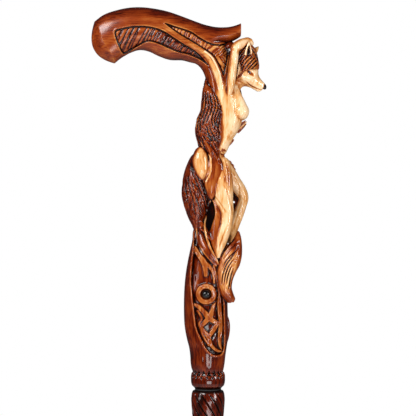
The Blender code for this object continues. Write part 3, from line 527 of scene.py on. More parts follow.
def rib_stain(x, y, z):
    """Honey brown at the grip's end of the rib, bare wood where it runs into the back."""
    honey = np.interp(x, (-36, -8, 2, 8, 12), (0.56, 0.46, 0.28, 0.14, 0.08))
    return honey + 0.05 * wobble(x * 0.5, z * 0.4, 2.0)


def dowel_hole(x, y, z):
    """The hole for the dowel that crosses the glue line square to it."""
    rise, back = math.cos(DOWEL_LEAN), -math.sin(DOWEL_LEAN)
    dx, dz = x - DOWEL_MIDDLE[0], z - DOWEL_MIDDLE[1]
    wall = np.hypot(dx * rise - dz * back, y) - DOWEL_RADIUS - 0.08
    return np.maximum(wall, np.abs(dx * back + dz * rise) - DOWEL_HALF - 0.2)


dowel_low, dowel_high = (corner * 1000 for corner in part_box("grip_dowel"))
DOWEL_MIDDLE = ((dowel_low.x + dowel_high.x) / 2, (dowel_low.z + dowel_high.z) / 2 - JOINT_MM)
DOWEL_RADIUS = (dowel_high.y - dowel_low.y) / 2
GLUE_LINE_BACK, GLUE_LINE_FRONT, GLUE_GAP = (-8.0, 273.9), (28.5, 299.8), 0.05
DOWEL_LEAN = math.atan2(GLUE_LINE_FRONT[1] - GLUE_LINE_BACK[1], GLUE_LINE_FRONT[0] - GLUE_LINE_BACK[0])
DOWEL_HALF = ((dowel_high.z - dowel_low.z) / 2 - DOWEL_RADIUS * math.sin(DOWEL_LEAN)) / math.cos(DOWEL_LEAN)
dowel_box = [(DOWEL_MIDDLE[0] + way * 16, way * 6, DOWEL_MIDDLE[1] + way * 19) for way in (-1, 1)]

head_masses = [
    Mass(grip_field, grip_box, brown_and_top_shade_of_grip),
    Mass(core_field, core_box, brown_to_pale, blend=1.5),
]
rib_masses = [
    carved_limb(laid_on(head_masses, [
        (-37.0, 306.4, 1.0, 0.2), (-31.7, 303.3, 1.5, 0.4), (-20.3, 295.6, 1.7, 0.5),
        (-13.5, 291.4, 1.9, 0.7), (-6.6, 287.4, 2.1, 0.9), (-2.1, 284.4, 2.3, 1.1),
        (1.6, 280.2, 2.6, 1.2), (4.8, 274.8, 2.9, 1.3), (7.5, 268.6, 3.2, 1.3), (9.6, 261.7, 3.3, 1.1),
        (11.2, 253.9, 3.1, 0.8), (12.4, 245.0, 2.4, 0.3),
    ]), rib_stain, 0.5, True),
    carved_limb(laid_on(head_masses, [
        (-2.6, 286.4, 0.7, 1.4), (2.8, 281.8, 0.8, 1.8), (6.4, 275.8, 0.8, 1.9), (9.4, 268.6, 0.8, 1.8),
        (11.4, 260.6, 0.8, 1.4),
    ]), 0.14, 0.5, True),
]
head_masses += rib_masses
head_masses += [
    # A knob that fills the gap under the beak, stained near black as painted shadow.
    Mass(*rounded((18.2, 0, 291.3), (5.6, 8.5, 4.6), lean=-30), 0.88, 0.5),
    Mass(dowel_hole, dowel_box, 0.1, 0.05, cut=True),
]


def settle_signs(volume):
    """Clears the few places where two diagonal corners of a voxel face are inside and two outside."""
    for _ in range(4):
        for a, b in ((0, 1), (0, 2), (1, 2)):
            corner = []
            for i in (0, 1):
                for j in (0, 1):
                    part = [slice(None)] * 3
                    part[a] = slice(i, volume.shape[a] - 1 + i)
                    part[b] = slice(j, volume.shape[b] - 1 + j)
                    corner.append(volume[tuple(part)])
            inside = [c < 0 for c in corner]
            crossed = (inside[0] == inside[3]) & (inside[1] == inside[2]) & (inside[0] != inside[1])
            for c, was_inside in zip(corner, inside):
                c[crossed & ~was_inside] = -1e-3


def carve(masses, low, high, step):
    """The joined masses as a mesh of even squares, eased onto the true surface. Returns points, faces."""
    axes = [np.arange(a, b + step, step) for a, b in zip(low, high)]
    volume = np.full([len(axis) for axis in axes], 4.0, np.float32)
    for mass in masses:
        part = tuple(
            slice(*np.searchsorted(axis, (mass.low[i], mass.high[i]))) for i, axis in enumerate(axes)
        )
        x, y, z = (axis[s].astype(np.float32) for axis, s in zip(axes, part))
        if min(len(x), len(y), len(z)) == 0:
            continue
        own = mass.at(x[:, None, None], y[None, :, None], z[None, None, :])
        volume[part] = mass.join(volume[part], own)
    settle_signs(volume)

    solid = volume < 0
    shape = tuple(n - 1 for n in volume.shape)
    count = np.zeros(shape, np.int8)
    corners = [(i, j, k) for i in (0, 1) for j in (0, 1) for k in (0, 1)]
    for i, j, k in corners:
        count += solid[i : shape[0] + i, j : shape[1] + j, k : shape[2] + k]
    cells = np.argwhere((count > 0) & (count < 8))
    number = np.full(shape, -1, np.int32)
    number[tuple(cells.T)] = np.arange(len(cells))
    total, crossings = np.zeros((len(cells), 3)), np.zeros(len(cells))
    for start in corners:
        for direction in range(3):
            if start[direction]:
                continue
            end = list(start)
            end[direction] = 1
            a = volume[tuple((cells + start).T)]
            b = volume[tuple((cells + end).T)]
            cross = (a < 0) != (b < 0)
            t = a[cross] / (a[cross] - b[cross])
            place = np.tile(np.array(start, float), (cross.sum(), 1))
            place[:, direction] = t
            total[cross] += place
            crossings[cross] += 1
    points = (cells + total / crossings[:, None]) * step + np.array([axis[0] for axis in axes])

    faces = []
    for direction in range(3):
        u, v = (direction + 1) % 3, (direction + 2) % 3
        ahead = [slice(None)] * 3
        behind = [slice(None)] * 3
        behind[direction], ahead[direction] = slice(0, -1), slice(1, None)
        change = solid[tuple(behind)] != solid[tuple(ahead)]
        edges = np.argwhere(change)
        edges = edges[(edges[:, u] > 0) & (edges[:, v] > 0)]
        edges = edges[np.all(edges < np.array(shape), axis=1)]
        ring = []
        for du, dv in ((-1, -1), (0, -1), (0, 0), (-1, 0)):
            cell = edges.copy()
            cell[:, u] += du
            cell[:, v] += dv
            ring.append(number[tuple(cell.T)])
        ring = np.stack(ring, axis=1)
        inward = solid[tuple(edges.T)]
        ring[~inward] = ring[~inward][:, ::-1]
        faces.append(ring)
    faces = np.vstack(faces)

    for _ in range(3):
        points = evened(points, faces, 0.5)
        points = onto_surface(masses, points)
        points = onto_surface(masses, points)
    return points, faces


def neighbours(faces, count):
    """The edges of the mesh, as two arrays of ends, and how many edges meet at each point."""
    ends = np.concatenate([np.stack([faces[:, i], faces[:, (i + 1) % 4]], axis=1) for i in range(4)])
    ends = np.unique(np.sort(ends, axis=1), axis=0)
    meeting = np.bincount(ends.ravel(), minlength=count)
    return ends[:, 0], ends[:, 1], np.maximum(meeting, 1)


def averaged(values, edges):
    """Each point's value averaged with those of its neighbours."""
    a, b, meeting = edges
    total = np.zeros_like(values)
    for column in range(values.shape[1]):
        own = values[:, column]
        total[:, column] = np.bincount(a, own[b], len(own)) + np.bincount(b, own[a], len(own))
    return total / meeting[:, None]


def evened(points, faces, share):
    edges = neighbours(faces, len(points))
    return points + (averaged(points, edges) - points) * share


def onto_surface(masses, points, probe=0.04, longest=0.35):
    """Moves points onto the true surface, none of them further than the longest move."""
    value = field_at(masses, points)
    slope = np.empty_like(points)
    for i in range(3):
        step = np.zeros(3)
        step[i] = probe
        slope[:, i] = (field_at(masses, points + step) - value) / probe
    steep = np.maximum((slope**2).sum(axis=1), 0.25)
    move = -(value / steep)[:, None] * slope
    far = np.linalg.norm(move, axis=1)
    move *= np.minimum(1, longest / np.maximum(far, 1e-9))[:, None]
    return points + move


def stains_and_hollows(masses, points, faces, step):
    """Per point: its mass's stain with painted shade on the faces turned away from the front, how deep it
    sits in a cut, and its place in the broad forms.
    """
    nearest = np.full(len(points), 1e9)
    stain = np.zeros(len(points))
    for mass in masses:
        inside = np.all((points > mass.low) & (points < mass.high), axis=1)
        if not inside.any():
            continue
        x, y, z = points[inside].T
        own = mass.at(x, y, z)
        own = np.abs(own) if mass.cut else own
        closer = own < nearest[inside] - (0.3 if mass.cut else 0.0)
        chosen = np.flatnonzero(inside)[closer]
        nearest[chosen] = own[closer]
        stain[chosen] = mass.stain_at(x[closer], y[closer], z[closer])
    edges = neighbours(faces, len(points))
    stain = averaged(stain[:, None], edges)[:, 0] * 0.5 + stain * 0.5
    corner = points[faces]
    across = np.cross(corner[:, 2] - corner[:, 0], corner[:, 3] - corner[:, 1])
    normal = np.zeros_like(points)
    for i in range(4):
        for axis in range(3):
            normal[:, axis] += np.bincount(faces[:, i], across[:, axis], len(points))
    normal /= np.maximum(np.linalg.norm(normal, axis=1), 1e-9)[:, None]
    soft = points.copy()
    cut_turns, form_turns = (max(1, round(2 * (reach / step) ** 2)) for reach in (0.6, 1.9))
    for turn in range(form_turns):
        soft = averaged(soft, edges)
        if turn + 1 == cut_turns:
            cut = ((soft - points) * normal).sum(axis=1)
    form = ((soft - points) * normal).sum(axis=1)
    cut, form = (averaged(v[:, None], edges)[:, 0] * 0.4 + v * 0.6 for v in (cut, form))
    # Painted shade: faces turned away from the front, towards the outline, are darker.
    flank_shade = 0.13 * (1 - np.abs(normal[:, 1])) ** 2
    cut = 0.92 * ease(cut, 0.10, 0.30) - ease(-cut, 0.05, 0.28)
    return {"stain": stain + flank_shade, "cut": cut, "form": np.clip(form / 0.9, -1, 1)}


def keep_on_points(mesh, numbers):
    """Keeps named numbers on a mesh's points, for the stain to read."""
    for label, values in numbers.items():
        mesh.attributes.new(label, "FLOAT", "POINT").data.foreach_set("value", values.astype(np.float32))


SMALLEST_PIECE = 2000


def carved_object(name, masses, low, high, keep_above):
    """The part of the carving above or below the sloping glue line, as an object that carries its stain and
    painted shade.
    Crumbs left between crossing cuts, with fewer corners than the smallest piece, are brushed off."""
    points, faces = carve(masses, low, high, FINE)
    mesh = bpy.data.meshes.new(name)
    mesh.from_pydata(points.tolist(), [], faces.tolist())
    keep_on_points(mesh, stains_and_hollows(masses, points, faces, FINE))
    bm = bmesh.new()
    bm.from_mesh(mesh)
    for face in bm.faces:
        face.smooth = True
    left, crumbs = set(bm.verts), []
    while left:
        island, edge_of_it = set(), [left.pop()]
        while edge_of_it:
            island.update(edge_of_it)
            reached = {v for here in edge_of_it for edge in here.link_edges for v in edge.verts}
            edge_of_it = list(reached & left)
            left.difference_update(edge_of_it)
        if len(island) < SMALLEST_PIECE:
            crumbs += island
    bmesh.ops.delete(bm, geom=sorted(crumbs, key=lambda v: v.index), context="VERTS")
    low_end, high_end = (Vector((x, 0, z)) for x, z in (GLUE_LINE_BACK, GLUE_LINE_FRONT))
    along = (high_end - low_end).normalized()
    normal = Vector((-along.z, 0, along.x))
    place = low_end + normal * (GLUE_GAP / 2 if keep_above else -GLUE_GAP / 2)
    cut = bmesh.ops.bisect_plane(
        bm, geom=[*bm.verts, *bm.edges, *bm.faces], dist=1e-4, plane_co=place, plane_no=normal,
        clear_inner=keep_above, clear_outer=not keep_above,
    )
    rim = [e for e in cut["geom_cut"] if isinstance(e, bmesh.types.BMEdge)]
    caps = bmesh.ops.triangle_fill(bm, edges=rim, use_beauty=False, use_dissolve=False)["geom"]
    for face in caps:
        if isinstance(face, bmesh.types.BMFace):
            face.smooth = False
    bm.transform(Matrix.Translation((0, 0, JOINT_HEIGHT)) @ Matrix.Scale(0.001, 4))
    bmesh.ops.recalc_face_normals(bm, faces=bm.faces)
    bm.to_mesh(mesh)
    bm.free()
    made = bpy.data.objects.new(name, mesh)
    bpy.context.scene.collection.objects.link(made)
    return made


def lacquered_wood(name, grain, tool_marks=0.3, sheen=0.10):
    """Hardwood stained by hand, then lacquered. The stain is thin on the raised forms, gathers round
    their feet and is near black in the cuts; painted shade darkens the hollows and cuts as well, and a
    painted highlight lightens the raised forms and sharp edges. Apart from these, only the lacquer's
    surface gives lights. The grain is given in waves a metre: 160 is lines 6 mm apart, and 18 is 56 mm
    long."""
    material = bpy.data.materials.new(name)
    material.use_nodes = True
    tree = material.node_tree
    shader = tree.nodes["Principled BSDF"]
    stain, cut, form = (
        add_node(tree, "ShaderNodeAttribute", {"attribute_name": label}).outputs["Fac"]
        for label in ("stain", "cut", "form")
    )
    place = add_node(tree, "ShaderNodeTexCoord").outputs["Object"]
    along = add_node(tree, "ShaderNodeMapping", _0=place, Scale=grain).outputs[0]
    # Streaks are 3 mm apart, the stain's clouds 11 mm and the knife's marks 4 mm. Pores are drawn 1.4 mm
    # apart, several times coarser than in the wood, so that they show.
    figure, pores, streaks, cloud, tools = (
        add_node(tree, "ShaderNodeTexNoise", Vector=vector, Scale=scale, Detail=detail, **more).outputs[0]
        for vector, scale, detail, more in (
            (along, 1.0, 4.0, {"Roughness": 0.6}),
            (along, 4.5, 3.0, {"Roughness": 0.7}),
            (along, 2.2, 2.0, {"Distortion": 0.6}),
            (place, 90.0, 3.0, {}),
            (place, 240.0, 1.0, {}),
        )
    )
    changes = (
        (figure, 0.3, 0.7, -0.08, 0.08),
        (cloud, 0.3, 0.7, -0.05, 0.05),
        (pores, 0.48, 0.70, 0.0, 0.20),
        (streaks, 0.54, 0.68, 0.0, 0.10),
        # Hollows darker: the stain gathered there, and painted shade.
        (form, 0.03, 0.75, 0.0, 0.38),
        # Raised forms and sharp edges paler: worn stain, and painted highlight.
        (form, -0.6, -0.03, -0.16, 0.0),
        (cut, -1.0, 0.0, -0.13, 0.0),
    )
    tone = stain
    for source, low, high, least, most in changes:
        ends = {"From_Min": low, "From_Max": high, "To_Min": least, "To_Max": most}
        change = add_node(tree, "ShaderNodeMapRange", Value=source, **ends).outputs[0]
        tone = add_node(tree, "ShaderNodeMath", {"operation": "ADD"}, _0=tone, _1=change).outputs[0]
    ramp = add_node(tree, "ShaderNodeValToRGB", Fac=tone)
    stops = (
        (0.0, "F6D3A8"), (0.22, "DDA05F"), (0.42, "B3662C"),
        (0.62, "8A360C"), (0.82, "561302"), (1.0, "1A0502"),
    )
    elements = ramp.color_ramp.elements
    for _ in range(len(stops) - 2):
        elements.new(0.5)
    for element, (position, colour) in zip(elements, stops):
        element.position = position
        element.color = linear(colour)
    # Near black in the cuts: the stain there, and painted shade.
    inked_and_shaded = add_node(
        tree, "ShaderNodeMix", {"data_type": "RGBA"}, _0=cut, _6=ramp.outputs["Color"], _7=linear("1C0904")
    ).outputs[2]
    tree.links.new(inked_and_shaded, shader.inputs["Base Color"])
    shader.inputs["Roughness"].default_value = 0.38
    shader.inputs["Specular IOR Level"].default_value = 0.0
    hand = add_node(tree, "ShaderNodeBump", Strength=tool_marks, Distance=0.0006, Height=tools)
    bump = add_node(
        tree, "ShaderNodeBump", Strength=0.25, Distance=0.00012, Height=pores, Normal=hand.outputs[0]
    )
    tree.links.new(bump.outputs["Normal"], shader.inputs["Normal"])
    shader.inputs["IOR"].default_value = 1.48
    shader.inputs["Coat Weight"].default_value = 0.8
    shader.inputs["Coat Roughness"].default_value = sheen
    shader.inputs["Coat IOR"].default_value = 1.5
    return material


carved_grip = carved_object("carved_grip", head_masses, (-112, -17, 262), (34, 17, 330), keep_above=True)
# The grain runs along the handle.
carved_grip.data.materials.append(
    lacquered_wood("lacquered_hardwood_grain_along_grip", (18, 160, 200), 0.15, 0.22)
)
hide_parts("grip_block")
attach(carved_grip, "head")

# The neck's post: the foot of the second block, stained dark red-brown. On each side an oval panel is
# sunk into it, with a tracery of ribbons, a ring and a lattice left standing, and the foot is turned to a
# bead with chip cuts.
POST_ROWS = [
    (-11.0, 139.0, 11.0, 137.0, 9.0, 0),
    (-12.9, 134.5, 15.0, 133.0, 12.4, 0),
    (-13.4, 127.5, 16.6, 127.5, 13.8, 0),
    (-15.2, 119.0, 16.8, 119.0, 14.8, 0),
    (-17.0, 110.5, 16.8, 110.5, 15.6, 0),
    (-18.8, 100.0, 16.6, 100.0, 16.2, 0),
    (-20.0, 88.0, 16.5, 88.0, 16.6, 0),
    (-20.5, 75.0, 16.6, 75.0, 16.8, 0),
    (-20.3, 60.0, 17.0, 60.0, 16.8, 0),
    (-19.4, 51.0, 17.2, 51.0, 16.6, 0),
    (-17.8, 43.0, 16.8, 43.0, 16.2, 0),
    (-16.0, 36.0, 15.8, 36.0, 15.6, 0),
    (-15.1, 29.0, 14.8, 29.0, 15.0, 0),
    (-14.8, 23.5, 14.2, 23.5, 14.5, 0),
    (-14.1, 19.0, 13.5, 19.0, 13.8, 0),
    (-13.2, 16.6, 12.9, 16.6, 13.1, 0),
    (-12.4, 15.0, 12.2, 15.0, 12.3, 0),
]
POST_PANEL = [
    (-11.6, 134.0), (-12.0, 121.0), (-13.6, 106.0), (-14.4, 93.0), (-13.0, 79.0), (-11.3, 64.0),
    (-9.9, 54.5), (-6.9, 47.0), (-2.0, 37.5), (3.0, 32.2), (7.0, 30.8), (11.5, 32.0), (13.4, 38.5),
    (13.4, 54.5), (13.2, 64.0), (13.0, 74.0), (12.0, 84.0), (11.5, 95.0), (11.0, 108.0), (7.0, 120.0),
    (0.0, 130.0), (-6.0, 136.0),
]
RING_CENTRE = (-1.6, 82.4)
TRACERY = [
    [(-13.0, 122.5, 1.7), (-11.2, 120.4, 2.1), (-7.5, 114.6, 2.2), (-3.6, 109.2, 2.7), (-2.3, 104.0, 2.3),
     (-1.9, 98.4, 1.8)],
    [(-2.6, 108.4, 2.2), (1.0, 105.6, 1.8), (3.7, 102.1, 1.6), (5.0, 97.2, 1.4), (5.3, 92.0, 1.0)],
    [(4.9, 106.0, 1.0), (6.9, 97.0, 1.2), (9.0, 88.0, 1.3), (9.8, 80.0, 1.6), (9.6, 74.0, 1.9),
     (10.0, 67.0, 2.0), (10.6, 60.0, 2.0), (10.8, 55.0, 2.1), (10.4, 50.0, 2.0), (9.8, 44.5, 1.8),
     (10.2, 39.0, 1.4), (11.8, 35.0, 0.8)],
    [(-11.2, 73.4, 1.4), (-7.9, 71.6, 2.0), (-3.5, 67.4, 2.3), (0.8, 62.6, 2.9), (3.8, 60.2, 2.2),
     (7.4, 57.9, 2.1), (5.8, 54.0, 2.0), (3.0, 49.7, 2.0), (0.3, 46.2, 2.0)],
    [(5.2, 74.4, 1.4), (3.6, 68.6, 1.9), (1.2, 63.0, 2.8), (-2.4, 59.0, 2.2), (-5.7, 55.1, 1.9),
     (-3.6, 51.3, 1.9), (-0.2, 47.3, 2.1), (1.6, 42.5, 1.9), (3.4, 38.4, 1.6), (7.6, 34.6, 1.4),
     (11.4, 33.6, 1.0)],
    [(-8.6, 68.2, 1.2), (-5.4, 62.3, 1.3), (-7.3, 57.3, 1.2), (-6.3, 53.6, 1.1), (-4.6, 48.6, 1.1),
     (-1.9, 43.6, 1.1), (0.8, 39.4, 1.0)],
]
CHIP_CUTS, CHIP_SPACING = 18, 4.9
CHIP_DEPTH, SCALLOP_DEPTH = 1.6, 0.9


def ribbons(lines, steps=6):
    """Distance in the side view to strips that follow lines of (x, z, half width), negative on them."""
    lines = [filled_in(line, steps) for line in lines]
    x, z, left, low, step = map_grid(np.vstack(lines)[:, :2], 6.0, 0.25)
    nearest = np.full(x.shape, 9.0)
    for line in lines:
        for start, end in zip(line, line[1:]):
            t, away = from_segment(x, z, start, end)
            nearest = np.minimum(nearest, away - start[2] - (end[2] - start[2]) * t)
    return one_layer(nearest, left, low, step)


post_form, post_box = sections(POST_ROWS, 2.0)
post_panel, tracery = outline(POST_PANEL), ribbons(TRACERY)


def carved_tracery(x, z):
    """Distance to the edge of the tracery with its ring, negative on it."""
    from_middle = np.hypot(x - RING_CENTRE[0], z - RING_CENTRE[1])
    ring = np.abs(from_middle - 6.65) - 2.25
    clear = from_middle - 10.2
    return np.minimum(np.maximum(tracery(x, z), -clear), ring)


def chips(x, y, z):
    """The row of triangular chip cuts over the foot's bead, and the scallops under it, from 0 to 1."""
    around = np.arctan2(x, -y) / (2 * np.pi) * CHIP_CUTS - 0.2
    across = np.abs(((around + 0.5) % 1) - 0.5) * CHIP_SPACING
    half = 1.65 * np.clip((18.2 - z) / 4.0, 0, 1)
    triangle = ease(half - across, -0.2, 0.3) * ease(z, 13.0, 13.5)
    beside = (((around + 0.85) % 1) - 0.5) * CHIP_SPACING
    scallop = ease(-np.hypot(beside, (z - 11.8) * 0.8), -1.15, -0.5) * ease(-z, -13.0, -12.5)
    return triangle, scallop


def post_field(x, y, z):
    """The post with its sunk panel, the tracery left standing in it, and the knife's slow waves."""
    edge, lines = post_panel(x, z), carved_tracery(x, z)
    sides = ease(np.abs(y), 3.0, 6.0)
    floor = 3.0 * ease(-edge, -0.3, 0.9)
    raised = (2.0 - 0.25 * ease(-lines, 0.6, 1.8)) * ease(-lines, -0.5, 0.9) * ease(-edge, 0.3, 0.8)
    rim = -0.3 * ease(-np.abs(edge - 1.0), -1.0, 0.0)
    waves = 0.4 * wobble(x * 1.1, z * 0.32, 3.0) * ease(-edge, 0.5, 1.5)
    waves = waves + 0.14 * wobble(x * 0.35, z * 0.22, 12.0) * ease(edge, 0.5, 2.0)
    triangle, scallop = chips(x, y, z)
    carved = post_form(x, y, z)[0] + (floor - raised + rim + waves) * sides
    return carved + CHIP_DEPTH * triangle + SCALLOP_DEPTH * scallop


def post_stain(x, y, z):
    edge, lines = post_panel(x, z), carved_tracery(x, z)
    inside = ease(-edge, -0.2, 0.4) * ease(np.abs(y), 3.0, 6.0)
    panel = 0.72 - 0.10 * ease(-lines, -0.3, 0.5) - 0.10 * ease(-lines, 0.6, 1.8)
    panel = panel + 0.10 * wobble(x, z * 0.3, 8.0)
    triangle, scallop = chips(x, y, z)
    around = 0.76 + 0.06 * wobble(x * 0.3, z * 0.06, 4.0) - 0.12 * ease(-np.abs(edge - 0.9), -0.9, 0.0)
    # Darker towards the collar; near black at its foot, over the washer, as painted shadow.
    around = around + 0.14 * ease(-z, -24, -12) + 0.3 * ease(-z, -4.5, -2.4)
    return np.maximum(around * (1 - inside) + panel * inside, np.maximum(triangle, 0.75 * scallop))


def foot_field(x, y, z):
    """The turned bead at the foot, from its heights and radii."""
    heights = [0.5, 1.8, 2.6, 4.3, 6.6, 9.0, 11.5, 13.6, 15.0, 15.9, 17.0, 24.0]
    radii = [11.2, 11.2, 12.0, 13.7, 14.35, 14.5, 14.5, 14.3, 13.7, 12.7, 12.4, 12.2]
    triangle, scallop = chips(x, y, z)
    wall = (np.hypot(x, y) - np.interp(z, heights, radii)) * 0.93
    solid = np.maximum(wall, np.maximum(1.8 - z, z - 22.0))
    return solid + CHIP_DEPTH * triangle + SCALLOP_DEPTH * scallop


post_masses = [
    Mass(post_field, post_box, post_stain),
    Mass(foot_field, ((-17, -17, 0), (17, 17, 24)), post_stain, blend=0.5),
    carved_limb([
        (13.4, 9.5, 66, 1.4), (15.9, 8.5, 59, 2.2), (16.7, 8.0, 51.5, 2.2), (15.8, 8.2, 43, 1.8),
        (13.8, 9, 36.5, 1.2),
    ], 0.78, 1.2),
]

# The figure's legs, loincloth and tail: carved in the round from the same block, with a deep hollow cut
# in between the tail and the near leg. The legs are left nearly bare, the cloth is brown and the tail is
# dark with bright ridges.
TAIL_ROWS = [
    (-9.6, 203.0, -7.0, 203.6, 3.5, 0),
    (-14.4, 198.6, -7.4, 199.6, 6.8, 0),
    (-18.4, 190.5, -5.6, 193.0, 10.4, 0),
    (-20.8, 182.5, -2.0, 184.5, 12.8, 0),
    (-22.0, 174.5, 0.8, 175.5, 14.0, 0),
    (-22.4, 166.5, 2.4, 167.0, 14.4, 0),
    (-21.2, 159.5, 1.6, 159.5, 14.2, 0),
    (-19.0, 152.0, -0.4, 152.5, 13.4, 0),
    (-16.6, 146.0, -2.2, 146.5, 12.4, 0),
    (-13.6, 140.0, -5.0, 141.0, 11.0, 0),
    (-11.6, 135.0, -7.0, 136.0, 9.4, 0),
]
TAIL_LOCKS = [
    [(-12.6, 183.4), (-7.8, 171.2), (-3.4, 161.5), (-1.6, 151.8)],
    [(-9.6, 182.4, 0.6), (-4.6, 172.0), (-1.9, 163.9), (-0.5, 157.1, 0.5)],
    [(-14.6, 191.1, 0.5), (-13.1, 185.3), (-9.2, 176.1, 0.6)],
    [(-17.0, 181.4, 0.4), (-15.5, 171.2), (-12.6, 161.5), (-11.2, 149.4, 0.5)],
    [(-18.9, 178.5, 0.4), (-18.5, 168.8), (-16.0, 156.6, 0.5)],
    [(-13.1, 175.6, 0.5), (-11.2, 166.4), (-7.8, 156.6), (-5.8, 147.4, 0.5)],
]
TAIL_TIP_ROWS = [
    (24.8, 135.6, 26.6, 135.0, 1.2, -3.5),
    (21.6, 129.0, 28.1, 129.6, 4.0, -5.5),
    (16.4, 123.6, 28.9, 121.5, 5.6, -7.0),
    (11.6, 116.4, 28.5, 113.5, 6.6, -8.0),
    (9.2, 109.0, 26.8, 106.5, 7.0, -8.8),
    (7.7, 101.5, 23.4, 100.0, 7.2, -9.4),
    (7.6, 95.0, 21.0, 94.0, 7.0, -9.6),
    (8.6, 88.0, 20.1, 87.5, 6.6, -9.6),
    (10.8, 82.0, 21.6, 82.0, 6.0, -9.4),
    (13.8, 77.6, 23.0, 78.2, 4.8, -9.0),
    (17.2, 74.2, 22.0, 75.2, 2.6, -8.8),
]
LOINCLOTH = [
    (0.8, 203.3), (4.5, 202.0), (9.7, 197.0), (12.7, 190.8), (12.4, 184.5), (10.4, 176.0), (7.4, 168.8),
    (5.2, 164.0), (3.2, 161.8), (0.6, 163.5), (-1.5, 168.8), (-2.9, 175.4), (-1.0, 180.0), (1.6, 185.3),
    (2.2, 194.7),
]
HOLLOW = [
    (3.4, 161.2), (1.8, 158.6), (0.3, 154.0), (-1.1, 148.0), (-1.6, 142.0), (-0.7, 136.4), (0.6, 133.6),
    (2.2, 136.4), (4.1, 141.5), (6.0, 147.0), (6.4, 152.0), (5.2, 158.0),
]

tail_form, tail_box = sections(TAIL_ROWS, 2.0)
tip_form, tip_box = sections(TAIL_TIP_ROWS, 2.0)
loincloth, hollow = outline(LOINCLOTH), outline(HOLLOW)
tail_locks = strokes(TAIL_LOCKS, 0.7)
hip, hip_box = rounded((5.5, -8.6, 184.0), (8.6, 6.6, 18.0), lean=6)
tip_cuts_deep = strokes([
    [(25.5, 122.0, 0.5), (20.5, 114.0), (15.6, 107.1), (12.6, 99.2), (11.6, 91.2, 0.6)],
    [(22.0, 112.1, 0.5), (17.6, 106.1), (14.6, 98.2), (13.4, 90.2, 0.4)],
    [(20.5, 107.1, 0.4), (18.1, 102.1), (16.3, 96.2), (15.6, 90.6, 0.4)],
    [(21.5, 104.1, 0.4), (19.4, 98.2), (17.8, 90.2), (17.0, 85.4, 0.3)],
    [(23.5, 119.4, 0.4), (19.4, 115.0), (14.6, 109.3, 0.8), (11.6, 102.1, 0.4)],
    [(23.6, 129.4, 0.4), (18.6, 124.6), (14.0, 118.6, 0.5)],
    [(26.0, 126.2, 0.4), (19.6, 120.6, 0.7), (13.0, 112.6, 0.4)],
], 0.75)
tip_cuts_faint = strokes([
    [(27.4, 117.6, 0.2), (23.6, 111.4), (20.8, 104.6, 0.3)],
    [(12.4, 109.4, 0.2), (10.4, 101.4), (9.9, 92.4, 0.3)],
    [(10.4, 90.4, 0.2), (13.4, 83.4), (18.4, 77.6, 0.3)],
    [(15.4, 88.4, 0.2), (17.4, 82.4), (20.6, 78.4, 0.2)],
    [(21.0, 124.6, 0.2), (15.6, 117.8), (11.6, 108.0, 0.2)],
], 0.5)


def strands(across, side, run, count, fineness, waviness, seed):
    """Locks of hair round a form: broad valleys between the locks, and finer cuts between their strands."""
    turn = np.arctan2(side, across) / (2 * np.pi)
    bent = turn * count + waviness * wobble(run * 1.1, turn * 9.0, seed)
    bent = bent + 0.5 * np.sin(run * 1.9 + turn * 14 + seed)
    lock = np.abs((bent % 1) - 0.5) * 2
    fine = np.abs(((bent * fineness + 0.4 * wobble(run * 2.3, turn * 30, seed + 1)) % 1) - 0.5) * 2
    return lock**2.2, fine**1.7


def tail_hair(x, y, z):
    """Distance to the tail's smooth form, and the depth of the cuts in it. They fade towards its root."""
    distance, across, side, run = tail_form(x, y, z)
    lock, fine = strands(across, side, run, 12, 4.0, 0.4, 5.0)
    smooth = 0.35 + 0.65 * ease(-z, -188.0, -172.0)
    cuts = 0.35 * lock * smooth + 0.6 * fine * smooth
    return distance, cuts + 0.7 * tail_locks(x, z) * ease(np.abs(y), 2.0, 6.0)


def tail_field(x, y, z):
    distance, cuts = tail_hair(x, y, z)
    return distance + cuts - 0.15


def tail_stain(x, y, z):
    cuts = tail_hair(x, y, z)[1]
    root = ease(-(x + 0.42 * z), -72.5, -70.0)
    return 0.70 + 0.24 * ease(cuts, 0.2, 0.9) + 0.05 * root + 0.08 * wobble(x, z * 0.3, 2.0)


def tip_field(x, y, z):
    cuts = 1.2 * tip_cuts_deep(x, z) + 0.5 * tip_cuts_faint(x, z)
    return tip_form(x, y, z)[0] + cuts * ease(-y, 3.0, 6.0)


def tip_stain(x, y, z):
    """Brown along the edges and at the toe, pale in between, black in the cuts."""
    upper = ease(z + 0.75 * x, 130.5, 138.5)
    toe = ease(-z - 0.35 * x, -94.0, -84.0)
    front = np.interp(z, (75, 87, 94, 100, 107, 114, 122), (23, 20, 21, 23.4, 26.8, 28.5, 28.9))
    back = np.interp(z, (75, 88, 96, 104, 113, 120), (16, 8.6, 7.6, 8.4, 10.4, 13.0))
    edge = 0.6 * ease(x - front, -3.6, -0.8) + 0.5 * ease(back - x, -2.6, -0.6)
    cuts = np.maximum(tip_cuts_deep(x, z), 0.6 * tip_cuts_faint(x, z))
    tone = 0.35 + 0.36 * np.clip(upper + toe + edge, 0, 1) + 0.10 * wobble(x * 0.6, z * 0.3, 4.0)
    return np.maximum(tone, ease(cuts, 0.1, 0.7))


def cloth_field(x, y, z):
    """A pillow over the hip and the top of the thigh, inside the cloth's outline."""
    edge = loincloth(x, z)
    height = 14.2 + 2.6 * np.sqrt(np.clip(-edge / 5.5, 0, 1)) - 0.0036 * (z - 186) ** 2
    return soft_corner((np.abs(y) - height) * 0.8, edge, 0.6)


def cloth_stain(x, y, z):
    return 0.60 + 0.06 * wobble(x * 0.3, z * 0.3, 3.0) + 0.3 * ease(loincloth(x, z), -1.2, 0.2)


def near_leg_field(x, y, z):
    return near_leg(x, y, z) + 0.7 * leg_lines(x, z) * ease(-y, 3.0, 7.0)


def far_leg_field(x, y, z):
    return far_leg(x, y, z) + 0.6 * far_leg_lines(x, z) * ease(-np.abs(y - 5), -6.0, -3.0)


